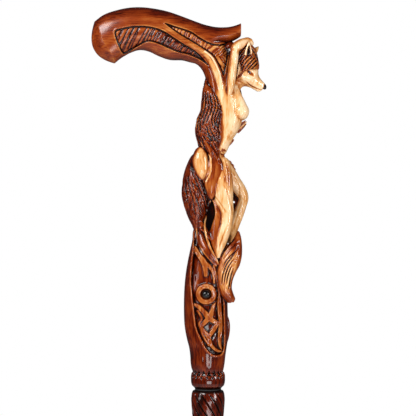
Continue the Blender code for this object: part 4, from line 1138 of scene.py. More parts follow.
def leg_stain(x, y, z):
    """Bare wood, with the stain gathered down the back of the calf, and painted shade on the thigh under
    the loincloth.
    """
    calf = np.interp(z, (112, 120, 126, 135, 142, 150, 158), (8.0, 7.4, 7.4, 9.0, 11.6, 12.4, 9.0))
    back = 0.5 * ease(-(x - calf), -1.2, 2.0) * ease(-z, -160.0, -154.0)
    bare = 0.10 + back + 0.09 * wobble(x * 0.5, z * 0.15, 7.0) + 0.34 * leg_lines(x, z)
    # Painted shade on the thigh under the loincloth, growing upwards.
    bare = bare + 0.16 * ease(-(z - 1.2 * (x - 14)), -186.0, -176.0) * ease(z, 164.0, 176.0)
    return bare + 0.08 * ease(z, 168.0, 190.0)


def bare_stain(x, y, z):
    return 0.09 + 0.08 * wobble(x * 0.45, z * 0.16, 6.0)


def far_leg_stain(x, y, z):
    return bare_stain(x, y, z) + 0.05 + 0.34 * far_leg_lines(x, z) + 0.14 * ease(-z, -146.0, -136.0)


def hollow_field(x, y, z):
    return np.maximum(hollow(x, z) - 0.10 * (y + 8.0), y + 1.0)


def web_field(x, y, z):
    return np.maximum(web(x, z), np.abs(y - 8.0) - 2.3)


web = outline([
    (14.0, 184.0), (21.0, 184.0), (25.5, 178.0), (27.0, 170.0), (26.0, 162.0), (23.5, 155.0),
    (20.0, 151.0), (15.0, 151.0), (13.0, 164.0),
])
near_leg, near_leg_box = limb([
    (12.0, -7.0, 191, 7.0), (12.6, -8.4, 178, 8.3), (13.0, -9.2, 168, 8.2), (13.9, -9.8, 160, 7.3),
    (15.6, -10.4, 152, 6.0), (15.4, -10.8, 144, 5.4), (13.6, -11.2, 136, 5.5), (10.8, -11.8, 127, 5.1),
    (8.9, -12.4, 120, 3.7), (8.4, -12.8, 114, 1.3),
])
far_leg, far_leg_box = limb([
    (11.5, 5, 191.5, 7.0), (17.2, 6.0, 184.4, 6.6), (22.4, 7.2, 176.6, 6.2), (27.2, 8.0, 170.0, 5.5),
    (29.9, 8.6, 163.6, 4.8), (28.6, 8.6, 157.0, 4.4), (25.6, 8.2, 149.0, 4.8), (22.6, 7.6, 141, 4.6),
    (20.4, 7.0, 133, 4.0), (18.6, 6.4, 127, 2.8),
])
leg_lines = strokes([
    [(14.1, 196.5, 0.3), (16.5, 188.2, 0.7), (17.5, 178.5, 0.5), (17.0, 168.8, 0.2)],
    [(13.1, 174.1, 0.3), (17.0, 165.9, 0.6), (17.5, 163.4, 0.2)],
    [(6.3, 163.9, 0.4), (10.2, 158.6, 0.6), (15.1, 151.3, 0.3)],
    [(18.0, 163.0, 0.3), (19.9, 155.2, 0.6), (20.2, 149.4, 0.3)],
    [(10.8, 141.3, 0.4), (7.6, 135.5, 0.6), (6.6, 129.7, 0.6), (7.3, 121.1, 0.3)],
    [(16.3, 140.6, 0.2), (12.8, 131.5, 0.6), (10.1, 124.0, 0.6), (8.9, 116.7, 0.3)],
    [(12.1, 188.2, 0.2), (14.1, 181.4, 0.5), (13.1, 174.6, 0.2)],
], 0.9)
far_leg_lines = strokes([
    [(19.5, 188.0, 0.2), (23.6, 180.0, 0.5), (26.6, 172.0, 0.6), (26.4, 164.0, 0.3)],
    [(24.5, 186.0, 0.2), (28.4, 177.0, 0.4), (31.6, 168.0, 0.2)],
    [(28.4, 160.0, 0.3), (26.0, 152.0, 0.6), (23.4, 143.0, 0.5), (20.8, 135.0, 0.3)],
    [(31.4, 161.0, 0.2), (28.6, 152.0, 0.5), (25.6, 142.0, 0.2)],
], 0.9)
leg_masses = [
    Mass(web_field, ((12, 4, 144), (30, 12, 188)), 0.92, 1.0),
    carved_limb([
        (5.4, -8.5, 160, 2.6), (8.0, -8.8, 152, 4.4), (8.2, -9.0, 144, 5.2), (7.4, -9.6, 136, 5.2),
        (6.4, -10.8, 128, 4.4), (7.6, -12.0, 119, 2.6), (8.4, -12.6, 114, 1.2),
    ], 0.54, 1.0),
    # The hollow's walls are stained near black: painted shade in the deep cut.
    Mass(hollow_field, ((-4, -20, 130), (11, 0, 165)), 1.0, 0.6, cut=True),
    Mass(far_leg_field, far_leg_box, far_leg_stain, 1.0),
    Mass(hip, hip_box, leg_stain, 1.6, True),
    Mass(near_leg_field, near_leg_box, leg_stain, 1.0),
    Mass(cloth_field, ((-6, -19, 158), (16, -6, 207)), cloth_stain, 0.5, True),
    carved_limb([
        (17.0, 5.0, 194.8, 0.9), (18.6, 5.2, 193.6, 1.4), (19.6, 5.3, 192.2, 0.9),
        (20.8, 5.4, 190.8, 1.4), (21.6, 5.5, 189.2, 0.9), (22.4, 5.6, 187.6, 1.2),
    ], 0.74, 0.4),
    carved_limb([(22.1, -20.0, 160.4, 0.9), (22.1, 20.0, 159.4, 0.9)], 0.9, 0.3, cut=True),
]


def buttock_stain(x, y, z):
    above = 0.14 * ease(-x - 0.35 * (190 - z), 4.0, 12.0)
    return bare_stain(x, y, z) + 0.10 + above + 0.5 * ease(teardrop(x, z), -2.0, 0.4)


teardrop = outline([
    (-6.3, 206.4), (-10.2, 202.2), (-13.1, 197.0), (-13.4, 192.6), (-11.6, 186.7), (-7.8, 180.8),
    (-3.7, 177.0), (-1.2, 180.8), (1.0, 186.4), (1.4, 192.1), (0.4, 197.4), (-2.4, 202.8),
])
buttock = Mass(*rounded((-5.8, -8.9, 191.6), (7.7, 6.5, 14.9), lean=-3), buttock_stain, 0.5, True)
tail_masses = [
    Mass(tail_field, tail_box, tail_stain, 0.4),
    buttock,
    Mass(tip_field, tip_box, tip_stain, 0.3),
]
lower_masses = post_masses + head_masses[1:2] + leg_masses + tail_masses[:1]
ribbon_masses = [
    carved_limb(laid_on(lower_masses, [
        (-7.4, 143.0, 2.6, 0.6), (-6.4, 138.0, 3.6, 1.6), (-5.6, 132.5, 3.8, 1.9),
        (-3.8, 125.5, 3.7, 2.1), (-0.6, 119.0, 3.2, 2.2), (3.4, 113.0, 2.4, 2.2), (7.4, 107.6, 1.2, 2.0),
    ]), 0.72, 0.5, True),
    carved_limb(laid_on(lower_masses, [
        (2.0, 160.6, 0.5, 0.5), (-0.4, 152.6, 0.6, 0.7), (-1.8, 146.6, 0.8, 1.0), (-2.8, 141.0, 0.8, 2.2),
        (-2.2, 135.0, 0.8, 2.6), (-0.4, 127.5, 0.9, 3.0), (2.8, 119.2, 0.9, 3.0), (7.4, 110.6, 0.8, 2.6),
        (9.0, 106.0, 0.5, 2.0),
    ]), 0.44, 0.5, True),
    carved_limb(laid_on(lower_masses, [
        (-9.8, 137.0, 0.6, 1.4), (-8.4, 127.4, 0.7, 1.4), (-4.6, 119.2, 0.7, 1.8), (0.8, 112.2, 0.7, 2.0),
        (6.8, 106.0, 0.6, 1.8),
    ]), 0.56, 0.5, True),
]
cloth_rim = carved_limb(laid_on([*lower_masses, buttock], [
    (-4.0, 209.0, 0.7, 0.8), (-0.9, 204.7, 0.8, 0.9), (1.6, 198.9, 0.9, 0.9), (2.7, 193.1, 0.9, 0.9),
    (2.7, 188.0, 0.9, 0.9), (1.4, 182.4, 0.8, 0.9), (-1.6, 177.0, 0.7, 0.8),
]), 0.36, 0.4, True)

# The torso, arms and hair, of the same block. The hair is carved down the back in deep wavy locks, and the
# bare arms are raised, with the hands on the head. Strands from the far side show past the chest and belly.
HAIR_ROWS = [
    (-2.2, 265.0, 0.8, 264.5, 3.4, 0),
    (-4.4, 256.0, 6.4, 255.0, 10.6, 0),
    (-5.5, 247.0, 13.8, 246.0, 14.0, 0),
    (-6.6, 237.0, 15.2, 236.0, 14.6, 0),
    (-10.0, 229.0, 13.4, 227.0, 14.9, 0),
    (-10.9, 219.0, 13.0, 219.0, 14.6, 0),
    (-9.2, 211.5, 12.2, 209.0, 14.0, 0),
    (-7.6, 206.0, 11.0, 203.0, 13.5, 0),
    (-2.0, 201.4, 9.8, 197.4, 13.6, 0),
    (4.0, 198.4, 9.0, 195.0, 13.6, 0),
]
HAIR_ENDS = [
    [(-2.4, 210.6, 1.3), (0.5, 205.7, 1.4), (2.4, 200.4, 1.1), (3.3, 196.4, 0.5)],
    [(0.5, 207.6, 1.3), (3.4, 203.2, 1.4), (5.8, 199.4, 1.2), (7.4, 195.8, 0.9), (8.6, 192.6, 0.4)],
    [(3.4, 209.6, 1.3), (6.3, 203.3, 1.3), (8.1, 198.8, 1.0), (9.4, 195.2, 0.7), (10.2, 192.2, 0.4)],
    [(6.0, 210.0, 1.1), (8.2, 204.7, 1.1), (9.0, 200.4, 0.8), (9.4, 197.0, 0.4)],
]
HAIR_LOCKS = [
    [(-4.5, 253.5, 0.5), (-4.0, 247.4), (-4.9, 241.4), (-5.7, 235.4), (-7.6, 229.3), (-8.7, 223.3),
     (-8.2, 217.2, 0.5)],
    [(-2.6, 252.7, 0.5), (-1.9, 246.7), (-2.3, 239.9), (-4.0, 233.8), (-6.3, 228.6), (-6.7, 223.3),
     (-6.0, 218.7, 0.5)],
    [(-0.4, 251.2, 0.5), (0.2, 244.4), (0.8, 239.9), (-0.8, 234.6), (-2.6, 230.1), (-4.3, 224.8, 0.6)],
    [(1.5, 250.5, 0.5), (2.6, 245.2), (3.4, 240.6), (2.3, 235.4), (0.2, 230.1), (-1.1, 226.3, 0.6)],
    [(3.0, 254.0, 0.5), (5.3, 246.7), (6.3, 241.4), (5.3, 236.1), (3.6, 230.8), (3.4, 226.3),
     (5.3, 221.0, 0.5)],
    [(4.3, 254.7, 0.5), (7.3, 247.4), (8.5, 242.2), (8.1, 236.9), (6.3, 232.3), (5.3, 228.6),
     (6.3, 224.0, 0.6)],
    [(-1.7, 259.9, 0.4), (3.4, 256.0), (6.9, 251.2), (9.8, 245.2, 0.8), (10.3, 239.9), (9.8, 234.6),
     (7.9, 230.1), (7.2, 226.3), (8.3, 221.8, 0.5)],
    [(10.2, 234.0, 0.4), (9.4, 228.0), (8.8, 222.8), (9.4, 217.5), (8.8, 213.2, 0.4)],
    [(-4.9, 219.5, 0.3), (-1.9, 217.4, 0.5), (1.9, 217.2, 0.5), (5.8, 219.3, 0.3)],
    [(-5.6, 222.4, 0.2), (-2.6, 220.6, 0.4), (1.4, 220.6, 0.4), (4.2, 222.4, 0.2)],
    [(-6.4, 216.4, 0.2), (-3.4, 214.9, 0.4), (1.4, 214.2, 0.4), (6.4, 216.4, 0.2)],
    [(-2.6, 225.4, 0.3), (-0.6, 221.4, 0.6), (0.4, 216.4, 0.6), (3.6, 211.4), (6.6, 206.4, 0.4)],
    [(1.6, 226.4, 0.3), (1.8, 221.4, 0.6), (4.6, 215.4, 0.6), (7.6, 210.4, 0.4)],
    [(8.2, 220.4, 0.3), (7.2, 215.4, 0.6), (8.6, 209.4, 0.5), (9.6, 203.4, 0.3)],
    [(-8.6, 211.4, 0.3), (-6.2, 207.4, 0.6), (-5.4, 203.4, 0.3)],
    [(-7.6, 215.7, 0.5), (-6.8, 211.2), (-8.7, 206.6, 0.5)],
    [(-5.4, 215.0, 0.5), (-4.5, 209.7), (-1.9, 203.6), (0.4, 199.6, 0.5)],
    [(-3.4, 215.0, 0.5), (-1.1, 209.7), (2.6, 205.9), (5.7, 200.6), (7.9, 194.6, 0.5)],
    [(-0.4, 215.7, 0.5), (2.6, 211.2), (6.3, 206.6), (7.3, 202.1), (8.5, 196.8, 0.5)],
    [(3.4, 216.5, 0.5), (6.0, 211.9), (8.1, 206.6), (8.5, 202.1, 0.5)],
    [(-9.6, 222.0, 0.4), (-9.0, 215.0), (-7.4, 209.0, 0.5)],
]
hair_form, hair_box = sections(HAIR_ROWS, 2.6)
hair_locks = strokes(HAIR_LOCKS, 0.75)
body_lines = strokes([
    [(13.6, 267.1, 0.6), (13.2, 259.9), (14.6, 250.6, 0.5)],
    [(22.6, 261.4, 0.4), (21.6, 257.4), (19.6, 250.6, 0.4)],
    [(21.4, 249.0, 0.2), (21.6, 242.0, 0.4), (22.6, 236.0), (24.6, 231.0), (28.4, 229.0, 0.5)],
    [(17.0, 226.0, 0.15), (18.4, 216.0, 0.3), (16.6, 208.0, 0.15)],
], 0.8)


def hair_cuts(x, y, z):
    """Distance to the hair's smooth form, and the depth of the cuts in it. The sides follow the drawn
    locks."""
    distance, across, side, run = hair_form(x, y, z)
    lock, fine = strands(across, side, run, 11, 3.4, 0.9, 2.0)
    side_on = ease(np.abs(y), 4.0, 9.0)
    return distance, 0.8 * lock * (1 - 0.65 * side_on) + 0.5 * fine + 1.25 * hair_locks(x, z) * side_on


def hair_field(x, y, z):
    distance, cuts = hair_cuts(x, y, z)
    return distance + cuts - 0.25


def hair_stain(x, y, z):
    cuts = hair_cuts(x, y, z)[1]
    return 0.71 + 0.26 * ease(cuts, 0.3, 1.1) + 0.09 * wobble(x, z * 0.3, 9.0)


def torso_stain(x, y, z):
    return bare_stain(x, y, z) + 0.34 * body_lines(x, z)


def arm_stain(x, y, z):
    """Bare wood, with painted shade down the back of the arm and in the crook, and browner along the top of
    the forearm.
    """
    # Painted shade down the back of the arm and in the crook of the elbow.
    shaded = 0.44 * ease(-(x - np.interp(z, (250, 262, 276, 289), (16.4, 18.0, 19.8, 21.0))), -1.4, 1.4)
    forearm = np.interp(x, (20, 21.6, 25.4, 29.5, 33.5, 37), (289.5, 291.2, 293.6, 295.4, 296.6, 294.8))
    top = 0.36 * ease(z - forearm, -1.0, 1.6)
    crook = 0.30 * ease(-np.hypot(x - 26.4, z - 285.6), -3.6, -1.6)
    return 0.09 + np.maximum(np.maximum(shaded, top), crook) + 0.14 * wobble(x * 0.7, z * 0.3, 5.0)


def torso_field(x, y, z):
    return torso(x, y, z) + 0.55 * body_lines(x, z) * ease(np.abs(y), 4.0, 7.0)


def chest_field(x, y, z):
    return chest(x, y, z) + 0.8 * body_lines(x, z) * ease(np.abs(y), 4.0, 7.0)


torso, torso_box = limb([
    (17.0, -4.0, 252, 7.5), (19.0, -4.6, 243, 8.2), (19.6, -4.6, 234, 8.0), (17.6, -4.2, 224, 7.4),
    (14.2, -3.6, 214, 6.4), (10.8, -3.0, 205, 5.6),
])
chest, chest_box = limb([
    (22.2, -5.6, 256, 3.5), (24.6, -6.0, 248.5, 4.4), (26.6, -6.2, 242.4, 5.4), (28.4, -6.2, 237.4, 5.6),
])
DARK_STRAND = 0.80
upper_masses = [
    # A dark strand of the far side's hair under the jaw; its near-black stain is painted shade along the
    # neck's front edge.
    carved_limb([(25.4, 4.6, 260, 1.2), (27.0, 5.4, 253, 1.6), (28.4, 6.2, 246, 0.9)], 0.95, 0.3),
    Mass(torso_field, torso_box, torso_stain, 1.5, True),
    Mass(chest_field, chest_box, torso_stain, 1.6, True),
    Mass(*rounded((28.3, -6.4, 236.2), (6.5, 6.3, 6.8)), bare_stain, 0.9, True),
    carved_limb([
        (30.0, 0, 266, 6.0), (23.4, 0, 259, 5.4), (20.6, 0, 252, 6.6), (18, 0, 245, 8.6),
    ], bare_stain, 1.6),
    carved_limb([
        (31.9, 1.5, 229.0, 0.5), (30.0, 2.0, 227.6, 0.7), (27.6, 3.0, 225.6, 0.8),
    ], DARK_STRAND, 0.2),
    carved_limb([(32.6, 3.0, 228.0, 0.6), (30.0, 3.5, 225.6, 1.0), (27.0, 4.0, 223.0, 1.1)], 0.22, 0.2),
    carved_limb([
        (32.5, 4.0, 226.4, 0.5), (29.4, 4.4, 223.0, 0.9), (25.8, 5.0, 219.4, 1.0),
    ], DARK_STRAND, 0.2),
    carved_limb([(22.0, 2.0, 212.9, 0.5), (20.2, 2.4, 210.8, 0.9), (17.8, 2.0, 208.4, 1.0)], 0.7, 0.2),
    Mass(*rounded((11.2, -4.6, 201.4), (2.8, 5.2, 1.5), lean=20), 0.40, 0.3),
    Mass(*rounded((11.6, -4.8, 198.3), (2.3, 5.0, 1.9)), 0.52, 0.3),
    carved_limb([
        (10.0, -5.0, 205.2, 0.8), (12.4, -8.0, 204.0, 0.9), (14.4, -6.0, 203.2, 0.8),
    ], 0.75, 0.3, True),
    Mass(hair_field, hair_box, hair_stain, 0.4),
]
hair_ends = []
for lock in HAIR_ENDS:
    lying = laid_on(upper_masses + leg_masses, [(x, z, radius, radius + 0.1) for x, z, radius in lock])
    hair_ends.append(carved_limb(lying, 0.74, 0.25, True))
arm_masses = [
    # A knob filling the gap between grip, arm and neck, stained near black as painted shadow.
    Mass(*rounded((20.0, 0, 287.0), (6.5, 9.0, 7.0)), 0.98, 1.0),
    carved_limb([
        (17.7, -11.0, 249.4, 1.8), (18.3, -12.2, 254.8, 3.0), (19.7, -12.8, 264.0, 3.6),
        (20.9, -13.2, 274.0, 3.7), (22.1, -13.4, 283.0, 3.6), (22.7, -13.2, 289.0, 3.6),
    ], arm_stain, 0.5, True),
    carved_limb([
        (22.7, -13.0, 288.6, 3.8), (24.6, -12.0, 291.0, 4.1), (27.8, -9.8, 293.3, 3.9),
        (31.0, -7.6, 295.2, 3.2), (33.7, -6.2, 296.2, 2.7),
    ], arm_stain, 0.8, True),
    carved_limb([
        (33.2, -6.6, 296.6, 2.4), (35.8, -5.8, 296.0, 2.0), (37.2, -5.4, 293.6, 1.1),
    ], arm_stain, 0.3, True),
    carved_limb([
        (32.4, -4.0, 297.2, 2.1), (35.6, -3.2, 296.7, 1.9), (37.8, -2.8, 294.4, 1.1),
    ], arm_stain, 0.3, True),
]

# The head: a fox's, looking forward, with a cap of straight combed hair, upright ears and a black nose. It
# is carved in the same block, its hair and mouth are cut with a small gouge, and the face is nearly bare.
FACE_ROWS = [
    (23.5, 259.6, 27.0, 288.0, 9.6, 0),
    (28.0, 258.2, 35.0, 281.0, 9.2, 0),
    (32.4, 258.0, 42.2, 273.4, 7.8, 0),
    (36.2, 256.9, 42.9, 268.4, 6.0, 0),
    (39.3, 255.2, 44.4, 264.9, 4.7, 0),
    (42.0, 253.7, 46.5, 262.4, 3.7, 0),
    (44.6, 254.0, 48.1, 260.7, 2.8, 0),
    (46.6, 255.6, 48.8, 259.4, 1.7, 0),
]
CAP_ROWS = [
    (30.0, 294.2, 36.4, 294.2, 4.0, 0),
    (25.4, 291.0, 40.0, 290.4, 8.8, 0),
    (22.6, 285.6, 42.0, 285.0, 10.6, 0),
    (21.4, 280.0, 43.0, 280.0, 11.2, 0),
    (21.2, 275.0, 43.6, 275.6, 11.2, 0),
    (21.4, 270.0, 42.4, 270.6, 10.8, 0),
    (22.0, 265.0, 36.0, 265.0, 9.8, 0),
    (22.6, 260.5, 31.0, 260.5, 8.4, 0),
]
CAP_EDGE = [
    (21.0, 262.4), (24.0, 263.6), (26.6, 264.8), (28.4, 267.0), (30.4, 270.2), (35.4, 271.8),
    (40.1, 272.5), (44.5, 273.6), (46.0, 285.0), (40.0, 297.0), (26.0, 298.0), (19.0, 285.0),
]
CAP_STRANDS = [
    [(31.3, 287.1, 0.6), (26.7, 281.1), (25.2, 275.8), (24.8, 269.0, 0.7)],
    [(33.0, 285.6), (28.2, 280.0), (25.9, 274.6), (25.2, 268.0)],
    [(35.6, 284.0), (30.4, 279.0), (27.4, 273.4), (26.3, 267.4)],
    [(37.3, 282.4), (32.3, 277.3), (29.2, 272.4), (27.9, 268.4)],
    [(39.3, 281.4), (34.5, 275.9), (31.2, 271.6)],
    [(40.9, 279.6), (36.9, 275.1), (33.7, 271.7)],
    [(42.1, 277.4), (39.1, 274.1), (36.8, 272.1)],
    [(38.4, 286.9), (41.1, 283.3), (42.6, 279.3, 0.6)],
    [(36.6, 289.4, 0.7), (39.6, 285.6), (41.2, 281.9, 0.6)],
    [(33.0, 292.6, 0.7), (29.0, 287.6), (24.8, 283.0, 0.6)],
    [(24.2, 281.6, 0.6), (23.2, 275.0), (23.4, 268.0, 0.6)],
]
NEAR_EAR = [
    (34.5, 294.6), (36.0, 290.8), (37.1, 286.0), (36.6, 284.4), (34.0, 283.4), (31.2, 283.2),
    (30.9, 285.0), (32.2, 289.8),
]
EAR_HOLLOW = [
    (34.6, 291.4), (35.3, 288.4), (35.6, 285.0), (34.6, 283.2), (33.0, 283.0), (32.6, 285.0),
    (33.5, 288.6),
]

face_form, face_box = sections(FACE_ROWS, 2.1)
cap_form, cap_box = sections(CAP_ROWS, 2.0)
cap_edge, near_ear, ear_hollow = outline(CAP_EDGE), outline(NEAR_EAR, 5), outline(EAR_HOLLOW, 5)
cap_strands = strokes(CAP_STRANDS, 0.62)
MOUTH = [(31.3, 262.5, 0.4), (35.8, 258.9), (39.9, 256.7), (43.5, 255.3), (46.4, 255.0, 0.6)]
mouth_line = strokes([MOUTH], 0.65)


def along_eye(x, z):
    """Place along the almond of the eye, which slants down forward, and across it."""
    dx, dz = x - 35.6, z - 268.6
    return dx * 0.80 - dz * 0.60, dx * 0.60 + dz * 0.80


def face_field(x, y, z):
    u, w = along_eye(x, z)
    sides = ease(np.abs(y), 1.0, 2.6)
    socket = 0.55 * (1 - ease(np.hypot(u / 4.4, w / 2.4), 0.2, 1.1))
    brow = -0.35 * (1 - ease(np.hypot((u + 0.6) / 4.5, (w - 2.3) / 1.1), 0.3, 1.1))
    below = z - np.interp(x, (29, 31.3, 35.8, 39.9, 43.5, 47), (263.5, 262.5, 258.9, 256.7, 255.3, 255.0))
    jaw = 0.45 * ease(-below, -0.2, 0.7)
    return face_form(x, y, z)[0] + (socket + brow + 0.75 * mouth_line(x, z) + jaw) * sides


def face_stain(x, y, z):
    """Pale muzzle, a brown almond round the eye and a little painted shade under the cheek."""
    u, w = along_eye(x, z)
    almond = 1 - ease(np.hypot((u - 0.5) / 3.9, w / 1.5), 0.62, 1.12)
    cheek_shade = ease(-(z + 0.72 * x), -285.5, -281.0) * ease(-x, -37.0, -32.0)
    tone = 0.07 + 0.44 * almond + 0.22 * cheek_shade + 0.5 * ease(mouth_line(x, z), 0.2, 0.9)
    return tone + 0.07 * wobble(x * 0.6, z * 0.5, 2.0)


def cap_field(x, y, z):
    solid = soft_corner(cap_form(x, y, z)[0], cap_edge(x, z), 0.8)
    return solid + 1.4 * cap_strands(x, z) * ease(np.abs(y), 1.5, 4.5)


def cap_stain(x, y, z):
    # Darker behind, under the forearm: painted shade.
    behind = 0.30 * ease(-x - 0.2 * (z - 278), -32.0, -28.0)
    return 0.56 + behind + 0.6 * ease(cap_strands(x, z), 0.15, 0.7) + 0.08 * wobble(x * 0.8, z * 0.6, 3.0)


def ear_field(x, y, z):
    """A leaning slab inside the ear's outline, hollowed from its near face."""
    lean = y + 11.6 - 0.05 * (z - 284.0)
    solid = soft_corner(np.abs(lean) - 1.8, near_ear(x, z), 0.9)
    return np.maximum(solid, -np.maximum(ear_hollow(x, z), lean + 0.6))


def ear_stain(x, y, z):
    return np.where(ear_hollow(x, z) < 0.25, 0.97, 0.12)


fox_masses = [
    Mass(face_field, face_box, face_stain, 1.0),
    Mass(*rounded((47.9, 0, 257.9), (1.75, 2.5, 2.6), lean=-15), 1.3, 0.3),
    Mass(cap_field, cap_box, cap_stain, 0.4),
    Mass(ear_field, ((29, -14.5, 280), (40, -5, 297)), ear_stain, 0.3),
    carved_limb([(37.8, 5.6, 287.0, 3.1), (40.6, 6.2, 289.6, 2.2), (42.9, 6.8, 292.3, 0.6)], 0.36, 0.4),
]
PUPIL = [(34.3, 269.7, 1.1, 0.45), (35.2, 269.1, 1.0, 0.45)]
pupils = carved_limb(laid_on([Mass(face_field, face_box, 0.0)], PUPIL), 1.2, 0.2, True)

bead_low, bead_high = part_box("inlay_bead_near")
bead = [c * 1000 for c in (bead_low + bead_high) / 2]
bead_radius = (bead_high.x - bead_low.x) * 500
insert_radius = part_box("threaded_insert")[1].x * 1000
insert_top = (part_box("threaded_insert")[1].z - JOINT_HEIGHT) * 1000
bead_hole, bead_hole_box = rounded((bead[0], bead[1], bead[2] - JOINT_MM), [bead_radius + 0.1] * 3)


def insert_hole(x, y, z):
    return np.maximum(np.hypot(x, y) - insert_radius - 0.05, z - insert_top - 0.1)


neck_masses = [
    *head_masses, *post_masses, *leg_masses, *upper_masses, *tail_masses, cloth_rim, *hair_ends,
    *ribbon_masses, *fox_masses, *arm_masses, pupils,
    Mass(bead_hole, bead_hole_box, 1.0, 0.1, True, cut=True),
    Mass(insert_hole, ((-9, -9, -2), (9, 9, 28)), 0.5, 0.05, cut=True),
]

carved_neck = carved_object("carved_neck", neck_masses, (-26, -20, -1), (54, 20, 308), keep_above=False)
carved_neck.data.materials.append(lacquered_wood("lacquered_hardwood_grain_along_neck", (160, 160, 18)))
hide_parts("neck_block")
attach(carved_neck, "head")

# The beads: two balls of polished black glass, pushed into sockets in the middle of the carved rings.
# Like all the smaller pieces below they are turned, here from a profile.
CREASE = math.radians(38)


def finish(name, colour, roughness, metallic=0.0, wear=0.06, figure=(900, 900, 900)):
    """A plain finish whose tone and gloss vary a little, as on a real handled piece. The figure of that is
    given in waves a metre: 900 is patches of 1 mm, 400 of 2.5 mm."""
    material = bpy.data.materials.new(name)
    material.use_nodes = True
    tree = material.node_tree
    shader = tree.nodes["Principled BSDF"]
    place = add_node(tree, "ShaderNodeTexCoord").outputs["Object"]
    along = add_node(tree, "ShaderNodeMapping", _0=place, Scale=figure).outputs[0]
    cloud = add_node(
        tree, "ShaderNodeTexNoise", Vector=along, Scale=1.0, Detail=4.0, Roughness=0.65
    ).outputs[0]
    base = linear(colour)
    light, dark = ((*(min(c * k, 1.0) for c in base[:3]), 1.0) for k in (1.25, 0.72))
    tone = add_node(tree, "ShaderNodeMapRange", Value=cloud, From_Min=0.3, From_Max=0.7).outputs[0]
    gloss = add_node(
        tree, "ShaderNodeMapRange", Value=cloud, From_Min=0.3, From_Max=0.7,
        To_Min=roughness - wear, To_Max=roughness + wear,
    ).outputs[0]
    mixed = add_node(tree, "ShaderNodeMix", {"data_type": "RGBA"}, _0=tone, _6=dark, _7=light)
    tree.links.new(mixed.outputs[2], shader.inputs["Base Color"])
    tree.links.new(gloss, shader.inputs["Roughness"])
    shader.inputs["Metallic"].default_value = metallic
    return material


def turned(name, profile, around=96, twist=None, change=None):
    """A turned piece: a closed profile of (radius, height) in mm round the cane's axis, heights above the
    joint. change gives the depth of cuts from the angle, height and radius, and twist turns the section
    with height."""
    profile = np.array(profile, float)
    angles = np.arange(around) * 2 * np.pi / around if np.isscalar(around) else np.array(around)
    r, angle = np.meshgrid(profile[:, 0], angles, indexing="ij")
    z = np.repeat(profile[:, 1:2], len(angles), axis=1)
    cuts = change(angle, z, r) if change else np.zeros_like(r)
    turn = angle + (twist(z) if twist else 0.0)
    points = np.stack([(r - cuts) * np.sin(turn), -(r - cuts) * np.cos(turn), z], axis=-1)
    bm = bmesh.new()
    rings = []
    for row, radius in zip(points, profile[:, 0]):
        row = row[:1] if radius == 0 else row
        rings.append([bm.verts.new(p) for p in row])
    if profile[0, 0] > 0:
        rings.append(rings[0])
    count = len(angles)
    for low, high in zip(rings, rings[1:]):
        for k in range(count):
            pairs = ((low, k), (low, k + 1), (high, k + 1), (high, k))
            corners = dict.fromkeys(ring[place % len(ring)] for ring, place in pairs)
            bm.faces.new(list(corners)).smooth = True
    bm.transform(Matrix.Translation((0, 0, JOINT_HEIGHT)) @ Matrix.Scale(0.001, 4))
    bmesh.ops.recalc_face_normals(bm, faces=bm.faces)
    for edge in bm.edges:
        if len(edge.link_faces) == 2 and edge.calc_face_angle(0) > CREASE:
            edge.smooth = False
    mesh = bpy.data.meshes.new(name)
    bm.to_mesh(mesh)
    bm.free()
    made = bpy.data.objects.new(name, mesh)
    bpy.context.scene.collection.objects.link(made)
    return made


# Ground and polished glass: black, with small sharp lights.
black_glass = finish("polished_black_glass", "08080A", 0.07, wear=0.04)
black_glass.node_tree.nodes["Principled BSDF"].inputs["IOR"].default_value = 1.52
for side in ("near", "far"):
    node = "inlay_bead_" + side
    middle = (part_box(node)[0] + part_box(node)[1]) / 2 * 1000
    ball = [(bead_radius * math.sin(t), -bead_radius * math.cos(t)) for t in np.linspace(0, math.pi, 33)]
    ball = [(0.0, -bead_radius), *ball[1:-1], (0.0, bead_radius)]
    glass_bead = turned("glass_bead_" + side, ball, 64)
    glass_bead.data.transform(Matrix.Translation((0, 0, -JOINT_HEIGHT)))
    glass_bead.data.transform(Matrix.Rotation(math.radians(90), 4, "X"))
    glass_bead.data.transform(Matrix.Translation(middle / 1000))
    glass_bead.data.materials.append(black_glass)
    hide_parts(node)
    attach(glass_bead, "head")

# The dowel: a peg of beech, glued into a hole across the glue line, where it keeps grip and neck in place.
# It is turned, with its ends chamfered, and fluted so that the glue can get out.
dowel_profile = [(0.0, -DOWEL_HALF), (DOWEL_RADIUS - 1.0, -DOWEL_HALF), (DOWEL_RADIUS, 1.0 - DOWEL_HALF)]
dowel_profile += [(DOWEL_RADIUS, h) for h in np.linspace(1.5 - DOWEL_HALF, DOWEL_HALF - 1.5, 15)]
dowel_profile += [(DOWEL_RADIUS, DOWEL_HALF - 1.0), (DOWEL_RADIUS - 1.0, DOWEL_HALF), (0.0, DOWEL_HALF)]
fluted_dowel = turned(
    "fluted_dowel", dowel_profile, 120,
    change=lambda angle, z, r: 0.28 * np.abs(np.sin(angle * 10)) ** 3 * (r > DOWEL_RADIUS - 0.5),
)
fluted_dowel.data.transform(Matrix.Translation((0, 0, -JOINT_HEIGHT)))
fluted_dowel.data.transform(Matrix.Rotation(-DOWEL_LEAN, 4, "Y"))
fluted_dowel.data.transform(Matrix.Translation((dowel_low + dowel_high) / 2000))
# Bare beech: pale and matt, with a faint figure of 17 mm along the peg.
fluted_dowel.data.materials.append(finish("bare_beech", "D6AC7C", 0.55, wear=0.05, figure=(900, 900, 60)))
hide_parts("grip_dowel")
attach(fluted_dowel, "head")

# The joint: a brass insert in the neck's foot takes a threaded steel stud that is glued into the staff,
# with a black washer between the two ends. The thread has a pitch of 1.5 mm on a 10 mm rod.
PITCH = 1.5


